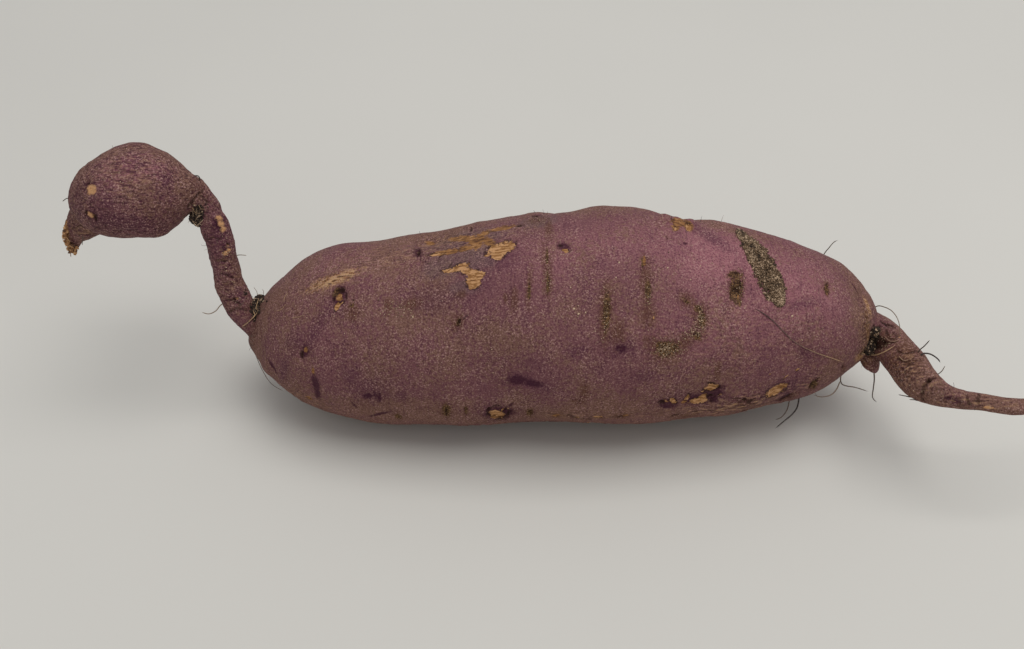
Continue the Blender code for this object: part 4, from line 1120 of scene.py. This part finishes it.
class TuberLook(bpy.types.PropertyGroup):
    """Colours and relief of the root."""
    mauve: colour_property("Mauve", "Main colour of the skin", (119, 77, 81))
    # Pink is also the colour of the painted highlight along the top and on the head.
    pink: colour_property("Pink", "Lighter skin on the right and upper side", (157, 102, 109))
    brown: colour_property("Brown", "Dusty olive-brown skin", (124, 92, 76))
    violet: colour_property("Violet", "Skin rubbed thin", (86, 46, 62))
    straw: colour_property("Straw", "Pale grain of the skin", (180, 140, 134))
    dry: colour_property("Dry skin", "Straw coloured, rubbed skin", (200, 160, 118))
    grit: colour_property("Grit", "Fine bright specks", (212, 180, 162))
    weathered: colour_property("Weathered", "Grey halo round old scars", (108, 90, 86))
    soil: colour_property("Soil stain", "Soil worked into the skin", (92, 60, 42))
    olive: colour_property("Olive", "Soil in the deeper sores", (98, 76, 46))
    graze: colour_property("Graze", "Fresh dark graze", (58, 18, 40))
    # Also the dark of the painted shade in pits, cracks, crevices and creases.
    hollow: colour_property("Hollow", "Floor of small pits", (44, 25, 18))
    flesh: colour_property("Flesh", "Golden flesh where skin is torn off", (200, 152, 108))
    flesh_dark: colour_property("Dry flesh", "Darker fibres in the torn places", (150, 106, 64))
    cork: colour_property("Cork", "Pale healed spots", (216, 162, 114))
    relief: FloatProperty(name="Relief", description="How strong the fine relief is", default=1.0, min=0,
                          max=2)
    seed: IntProperty(name="Seed", description="Seed of the far side's marks", default=7)


class StageLook(bpy.types.PropertyGroup):
    """Table and light."""
    floor: colour_property("Table", "Colour of the table", (219, 216, 208))
    power: FloatProperty(name="Overhead light", description="Power of the light above", default=8.6,
                         min=0, unit="POWER")
    fill: FloatProperty(name="Room light", description="Strength of the light from all round",
                        default=0.46, min=0)


def settle(piece, slot, material, *nodes):
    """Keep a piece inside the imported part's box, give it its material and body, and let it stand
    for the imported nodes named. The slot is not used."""
    write_points(piece.data, np.clip(read_points(piece.data), CAD_BOX[0], CAD_BOX[1]))
    piece.data.materials.clear()
    piece.data.materials.append(material)
    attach(piece, "root")
    if nodes:
        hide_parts(*nodes)


def add_piece(name, parts, slot, material, *nodes, smooth=False):
    """Join several (points, triangles, tone) into one mesh that keeps a tone for each point, and
    settle it."""
    points = np.concatenate([part[0] for part in parts])
    starts = np.cumsum([0] + [len(part[0]) for part in parts])
    triangles = np.concatenate([part[1] + start for part, start in zip(parts, starts)])
    tones = np.concatenate([np.broadcast_to(part[2], len(part[0])) for part in parts])
    piece = add_mesh(name, points, triangles, smooth)
    store(piece.data, "tone", tones)
    settle(piece, slot, matter(material), *nodes)


def ray_tree(thing):
    """Ray tree of an object as it now stands."""
    return BVHTree.FromObject(thing, bpy.context.evaluated_depsgraph_get())


def skin_tree():
    """Ray tree of the finished skin."""
    return ray_tree(bpy.data.objects["tuber_skin"])


def above_skin(tree, places):
    """How far each place lies outside the skin, in mm, and less than nothing inside it."""
    gaps = []
    for place in places:
        near, normal, _, _ = tree.find_nearest(Vector(place * MM))
        gaps.append((place - np.array(near) / MM) @ np.array(normal))
    return np.array(gaps)


def grown_forms():
    """Every form as a tube along its line, none below the table, united into one closed skin."""
    pieces = []
    for name, (stations, rings, sides, side, along) in FORMS.items():
        lift = body_lift(SWELLS.get(name, ()), DENTS if name == "body" else ())
        points, triangles = tube(evenly(smooth_line(stations), rings), sides, side, along, lift)
        points[:, 2] = np.maximum(points[:, 2], 0)
        pieces.append(add_mesh(name, points, triangles))
    return unite(pieces)


def smooth_joins(mesh, points, distances):
    """Points drawn together where a second form is near, and more so at the nape."""
    second = np.sort(np.abs(distances), axis=0)[1]
    points = relax(mesh, points, JOIN_WEIGHT * bell(second, JOIN_REACH), JOIN_ROUNDS)
    x, _, z = points.T
    nape = bell(second, NAPE_REACH) * (ramp(z, *NAPE_ABOVE) * ramp(x, *NAPE_LEFT_OF))
    return relax(mesh, points, NAPE_WEIGHT * (nape * ramp(x, *NAPE_RIGHT_OF)), NAPE_ROUNDS)


def skin_fields(tree, points, hook):
    """Dust, pink with its painted highlight, and bark for each point: from the soft fields, and more dust at
    the ends, below and behind.
    """
    x, y, z = points.T
    back = ramp(y, *BACK_BEHIND)
    ends = ramp(np.abs(x - BODY_MIDDLE), *END_BEYOND) * (1 - 0.5 * hook) + ramp(x, *TAIL_BEYOND)
    under = ramp(z, *UNDER_BELOW) * (1 - hook)
    dust = 0.5 * ends + 0.6 * under + 0.4 * back + soft_field(tree, points, "dust")
    scaly = back * (1 - 0.8 * hook) * ramp(lumps(points, 24, 15), 0.2, 1)
    return {"dust": np.clip(dust, 0, 1.3),
            "blush": soft_field(tree, points, "blush") + 0.35 * back * lumps(points, 40, 12) ** 2,
            "bark": soft_field(tree, points, "bark") + scaly}


class SWEETPOTATO_OT_skin(bpy.types.Operator):
    """Body, bulb, beak, neck, tail and stub as one skin with its relief and marks"""
    bl_idname = "sweetpotato.skin"
    bl_label = "Skin"

    def execute(self, context):
        look = context.scene.sweetpotato_look
        skin = grown_forms()
        mesh = skin.data
        points = read_points(mesh) / MM
        distances, along = to_forms(points)
        points = smooth_joins(mesh, points, distances)
        write_points(mesh, points * MM)
        clear = ramp(points[:, 2], *CLEAR_OF_TABLE)
        swell = soft_field(ray_tree(skin), points, "swell") * clear
        points = points + swell[:, None] * read_points(mesh, "vertex_normals", "vector")
        write_points(mesh, points * MM)
        context.view_layer.update()

        tree = ray_tree(skin)
        rng = np.random.default_rng(look.seed)
        values = {kind: reach_of(points, picture_marks(tree, rows) + far_marks(tree, kind, rng))
                  for kind, rows in MARKS.items()}
        thickness = np.array([max(row[3] for row in stations) for stations, *_ in FORMS.values()])
        thickness = thickness[np.abs(distances).argmin(axis=0)]
        hook = ramp(points[:, 0], *HOOK_LEFT_OF)
        depth, crease = crease_marks(tree, points)
        height = look.relief * (fine_relief(points, along, thickness, hook, values) - depth)
        height *= ramp(points[:, 2], *CLEAR_OF_TABLE)
        points = points + height[:, None] * read_points(mesh, "vertex_normals", "vector")
        points[:, 2] = np.maximum(points[:, 2], 0)
        write_points(mesh, points * MM)
        values.update(skin_fields(tree, points, hook), crease=crease, hook=hook)
        for label, numbers in values.items():
            store(mesh, label, numbers)
        mesh.shade_smooth()
        skin.name = mesh.name = "tuber_skin"
        settle(skin, "skin", skin_material(look), "sweet_potato")
        return {"FINISHED"}


def stubble(tree, rng):
    """Short seeded hairs: each grows out of the skin near a place on the picture and bends over."""
    for *row, count in STUBBLE:
        for _ in range(count):
            hit = near_pixel(tree, rng, *row, 0.6)
            if hit is not None:
                place, normal = hit
                lean = rng.normal(0, STUBBLE_LEAN, 3)
                length = rng.uniform(*STUBBLE_LENGTH)
                yield [place - 0.2 * normal, place + length * (0.5 * normal + 0.3 * lean),
                       place + length * (0.8 * normal + 0.9 * lean)]


def back_routes():
    """The far side's rootlets, by the same seeded rule as in the part."""
    rng = np.random.default_rng(BACK_SEED)
    line = smooth_line(BODY)
    for number in range(BACK_ROOTLETS):
        x = BACK_START + BACK_RUN * (number + rng.uniform(0.2, 0.8)) / BACK_ROOTLETS
        angle = math.radians(rng.uniform(*BACK_DEGREES))
        y, z, radius = (np.interp(x, line[:, 0], line[:, column]) for column in (1, 2, 3))
        out = np.array([0, math.sin(angle), math.cos(angle)])
        lean = np.array([rng.uniform(-0.8, 0.8), 0, rng.uniform(-0.3, 0.5)])
        base = np.array([x, y, z]) + out * (radius - BACK_SUNK)
        way = [0, BACK_RISE, BACK_RISE + 0.3 * BACK_LENGTH, BACK_RISE + 0.45 * BACK_LENGTH]
        slide = [0, 0.4, 0.45 * BACK_LENGTH, BACK_LENGTH]
        yield [tuple(base + out * far + lean * step) for far, step in zip(way, slide)]


class SWEETPOTATO_OT_rootlets(bpy.types.Operator):
    """Thin rootlets that stand out of the root"""
    bl_idname = "sweetpotato.rootlets"
    bl_label = "Rootlets"

    def execute(self, context):
        rng = np.random.default_rng(SEEDS["rootlets"])
        parts = [(*strand(*route), tone) for route, tone in zip(ROOTLETS, ROOTLET_TONES)]
        parts += [(*strand(places, BACK_THICKNESS), rng.uniform(0.05, 0.6)) for places in back_routes()]
        parts += [(*strand(places, STUBBLE_THICKNESS, 7, 3), rng.uniform(0, 1))
                  for places in stubble(skin_tree(), rng)]
        add_piece("rootlets", parts, "skin", "rootlet", smooth=True)
        return {"FINISHED"}


class SWEETPOTATO_OT_fibres(bpy.types.Operator):
    """Fine fibres that lie on the skin"""
    bl_idname = "sweetpotato.fibres"
    bl_label = "Fibres on the skin"

    def execute(self, context):
        tree = skin_tree()
        parts = []
        for pixels, thickness, tones, lift in FIBRES:
            places = off_skin(tree, pixels, 0.45 * thickness + lift)
            shares = np.append(np.repeat(np.linspace(*tones, 40)[1:-1], 6), tones)
            parts.append((*strand(places, thickness, 40, 6), shares))
        add_piece("fibres", parts, "skin", "fibre", smooth=True)
        return {"FINISHED"}


class SWEETPOTATO_OT_soil_cake(bpy.types.Operator):
    """Crust of crumbled soil over the right shoulder"""
    bl_idname = "sweetpotato.soil_cake"
    bl_label = "Soil cake"

    def execute(self, context):
        tree = skin_tree()
        rng = np.random.default_rng(SEEDS["soil_cake"])
        line = evenly(smooth_line(CAKE_LINE), CAKE_ROWS)
        way = np.gradient(line[:, :2], axis=0)
        way = way / np.linalg.norm(way, axis=1)[:, None]
        parts = []
        for count, grain, low, high, darkest, palest, stretch, bare in CAKE_LAYERS:
            places = []
            for _ in range(count):
                row, off = rng.integers(0, CAKE_ROWS), rng.uniform(-1, 1)
                x, y, half = line[row]
                half *= 1 + 0.09 * math.sin(row / 5) + 0.07 * math.sin(row / 2.1 + 2 * off)
                x, y = x - way[row, 1] * off * half, y + way[row, 0] * off * half
                hit = near_pixel(tree, rng, x, y, 1, 1, 1)
                if hit is not None:
                    crown = math.sqrt(max(0, 1 - off * off)) * min(1, half / 8)
                    places.append(hit[0] + hit[1] * crown * rng.uniform(low, high))
            places = np.array(places)
            places = places[lumps(places, 1.7, 13) > bare - 0.95]
            sizes = grain * rng.uniform(0.5, 1.2, len(places))
            points, triangles, tones = grains(places, sizes, rng, stretch)
            # Grains of the lower layers are darker, partly as painted shade between the crumbs.
            tones = 0.2 * lumps(points, 2.0, 14) + darkest + (palest - darkest) * tones
            parts.append((points, triangles, tones))
        add_piece("cake_crumbs", parts, "soil", "dry soil", "soil_cake")
        return {"FINISHED"}


def clod_places(tree, rng, balls):
    """Seeded places inside the balls, evenly by volume, that don't lie deep in the skin."""
    pick = rng.integers(0, len(balls), CLOD_TRIES)
    spread = rng.normal(size=(CLOD_TRIES, 3))
    spread /= np.linalg.norm(spread, axis=1)[:, None]
    spread *= rng.uniform(0, 1, (CLOD_TRIES, 1)) ** (1 / 3)
    places = balls[pick, :3] + spread * balls[pick, 3:4] * CLOD_LOOSE
    return places[above_skin(tree, places) > -CLOD_SUNK][:CLOD_GRAINS]


class SWEETPOTATO_OT_crevice_soil(bpy.types.Operator):
    """Crumbs packed into the crook, beside the neck and beside the tail, dark partly as painted shade in the
    crevices
    """
    bl_idname = "sweetpotato.crevice_soil"
    bl_label = "Soil in the crevices"

    def execute(self, context):
        tree = skin_tree()
        rng = np.random.default_rng(SEEDS["crevice_soil"])
        for node, clods in CLODS.items():
            places = clod_places(tree, rng, np.array(clods))
            crumbs = grains(places, CLOD_GRAIN * rng.uniform(0.5, 1.3, len(places)), rng, CRUMB_STRETCH)
            # Crevice crumbs are kept dark, partly as painted shade.
            tones = 1.1 * crumbs[2] ** 5 + CLOD_TONES[node] + 0.2 * lumps(crumbs[0], 1.4, 16)
            parts = [(*crumbs[:2], tones)]
            foremost = np.argsort(places @ FORWARD)[:len(places) // 3]
            for row in rng.choice(foremost, CLOD_HAIRS[node]):
                way, bend = rng.normal(0, 0.8, 3), rng.normal(0, 0.5, 3)
                hair = [places[row] - way, places[row] + bend, places[row] + way]
                parts.append((*strand(hair, CLOD_HAIR_THICKNESS, 8, 4), rng.uniform(0.7, 1.5)))
            for *patch, count in CREVICE_BITS[node]:
                bits = filter(None, [near_pixel(tree, rng, *patch) for _ in range(count)])
                spots = np.array([place + 0.15 * normal for place, normal in bits])
                loose = grains(spots, CLOD_GRAIN * rng.uniform(0.5, 1.2, len(spots)), rng, CRUMB_STRETCH)
                # Loose crumbs beside the clods are darkened too, partly as painted shade.
                parts.append((*loose[:2], 1.1 * loose[2] ** 5 - 0.25))
            add_piece(node.replace("soil", "crumbs"), parts, "soil", "dry soil", node)
        return {"FINISHED"}


class SWEETPOTATO_OT_sand(bpy.types.Operator):
    """Single grains stuck to the skin"""
    bl_idname = "sweetpotato.sand"
    bl_label = "Sand on the skin"

    def execute(self, context):
        tree = skin_tree()
        rng = np.random.default_rng(SEEDS["sand"])
        places, sizes = [], []
        for *patch, count in SAND:
            for _ in range(count):
                hit = near_pixel(tree, rng, *patch)
                if hit is not None:
                    places.append(hit[0] + hit[1] * 0.03)
                    sizes.append(SAND_GRAIN * rng.uniform(0.6, 1.5))
        strewn = grains(np.array(places), sizes, rng)
        bright = np.array(off_skin(tree, BRIGHT_SAND, 0))
        single = grains(bright, rng.uniform(*BRIGHT_GRAIN, len(bright)), rng)
        parts = [(*strewn[:2], 0.3 + 0.7 * strewn[2]), (*single[:2], 1.5)]
        add_piece("sand", parts, "soil", "dry soil")
        return {"FINISHED"}


class SWEETPOTATO_OT_torn_tip(bpy.types.Operator):
    """Corky fibres and crumbs where the beak was torn from the plant"""
    bl_idname = "sweetpotato.torn_tip"
    bl_label = "Torn tip"

    def execute(self, context):
        rng = np.random.default_rng(SEEDS["torn_tip"])
        line = evenly(smooth_line(TORN_LINE), TORN_ROWS)
        rows = rng.integers(0, TORN_ROWS, TORN_CRUMBS)
        places = line[rows, :3] + rng.normal(0, 0.45, (TORN_CRUMBS, 3)) * line[rows, 3:4]
        places = places[to_forms(places)[0].min(axis=0) < TORN_REACH]
        parts = [grains(places, rng.uniform(*TORN_GRAIN, len(places)), rng, (1, 1, 1.8))]
        for _ in range(TORN_FIBRES):
            start = line[rng.integers(8, 56), :3] + rng.normal(0, 0.5, 3)
            drop = rng.normal((-0.1, -0.3, -1.2), (0.6, 0.6, 0.5))
            bend = rng.normal(0, 0.5, 3)
            fibre = strand([start - 0.4 * drop, start + bend * 0.4, start + drop], 0.34, 12, 5)
            parts.append((*fibre, rng.uniform(0.3, 1)))
        add_piece("torn_tip", parts, "skin", "torn cork")
        return {"FINISHED"}


class SWEETPOTATO_OT_stage(bpy.types.Operator):
    """Pale table, soft light from above and the camera"""
    bl_idname = "sweetpotato.stage"
    bl_label = "Table, light and camera"

    def execute(self, context):
        look = context.scene.sweetpotato_stage
        corners = np.array([(-1, -1, 0), (1, -1, 0), (1, 1, 0), (-1, 1, 0)]) * TABLE_HALF
        table = add_mesh("table", corners, np.array([(0, 1, 2), (0, 2, 3)]), smooth=False)
        table.data.materials.append(floor_material(look))
        context.scene.view_settings.view_transform = "Standard"
        lamp_data = bpy.data.lights.new("overhead", "AREA")
        lamp_data.size = LIGHT_SIZE
        lamp_data.energy = look.power
        lamp = bpy.data.objects.new("overhead", lamp_data)
        lamp.location = LIGHT_PLACE
        lamp.rotation_euler = (LIGHT_AIM - LIGHT_PLACE).to_track_quat("-Z", "Y").to_euler()
        world = bpy.data.worlds.new("room")
        world.use_nodes = True
        background = world.node_tree.nodes["Background"]
        background.inputs["Color"].default_value = ROOM_COLOUR
        background.inputs["Strength"].default_value = look.fill
        context.scene.world = world
        camera_data = bpy.data.cameras.new("camera")
        camera_data.sensor_width = 36.0
        camera_data.angle = VIEW_ANGLE
        camera_data.clip_start = 0.01
        camera = bpy.data.objects.new("camera", camera_data)
        camera.location = CAMERA_PLACE * MM
        camera.rotation_euler = (math.pi / 2 - VIEW_DOWN, 0, 0)
        for thing in (lamp, camera):
            context.scene.collection.objects.link(thing)
        context.scene.camera = camera
        return {"FINISHED"}


STEPS = (SWEETPOTATO_OT_skin, SWEETPOTATO_OT_rootlets, SWEETPOTATO_OT_fibres, SWEETPOTATO_OT_soil_cake,
         SWEETPOTATO_OT_crevice_soil, SWEETPOTATO_OT_sand, SWEETPOTATO_OT_torn_tip, SWEETPOTATO_OT_stage)


class SWEETPOTATO_PT_panel(bpy.types.Panel):
    """Lists the colours, sizes and steps"""
    bl_label = "Sweet Potato"
    bl_space_type = "VIEW_3D"
    bl_region_type = "UI"
    bl_category = "Sweet Potato"

    def draw(self, context):
        for settings in (context.scene.sweetpotato_look, context.scene.sweetpotato_stage):
            column = self.layout.column()
            for label in settings.__annotations__:
                column.prop(settings, label)
        for step in STEPS:
            self.layout.operator(step.bl_idname)


CLASSES = (TuberLook, StageLook, *STEPS, SWEETPOTATO_PT_panel)


def register():
    """Add the classes to Blender and their values to the scene."""
    for cls in CLASSES:
        bpy.utils.register_class(cls)
    bpy.types.Scene.sweetpotato_look = PointerProperty(type=TuberLook)
    bpy.types.Scene.sweetpotato_stage = PointerProperty(type=StageLook)


def unregister():
    """Take them out again."""
    del bpy.types.Scene.sweetpotato_stage
    del bpy.types.Scene.sweetpotato_look
    for cls in reversed(CLASSES):
        bpy.utils.unregister_class(cls)


def main():
    """Register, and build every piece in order."""
    register()
    for step in STEPS:
        group, name = step.bl_idname.split(".")
        getattr(getattr(bpy.ops, group), name)()


if __name__ == "__main__":
    main()
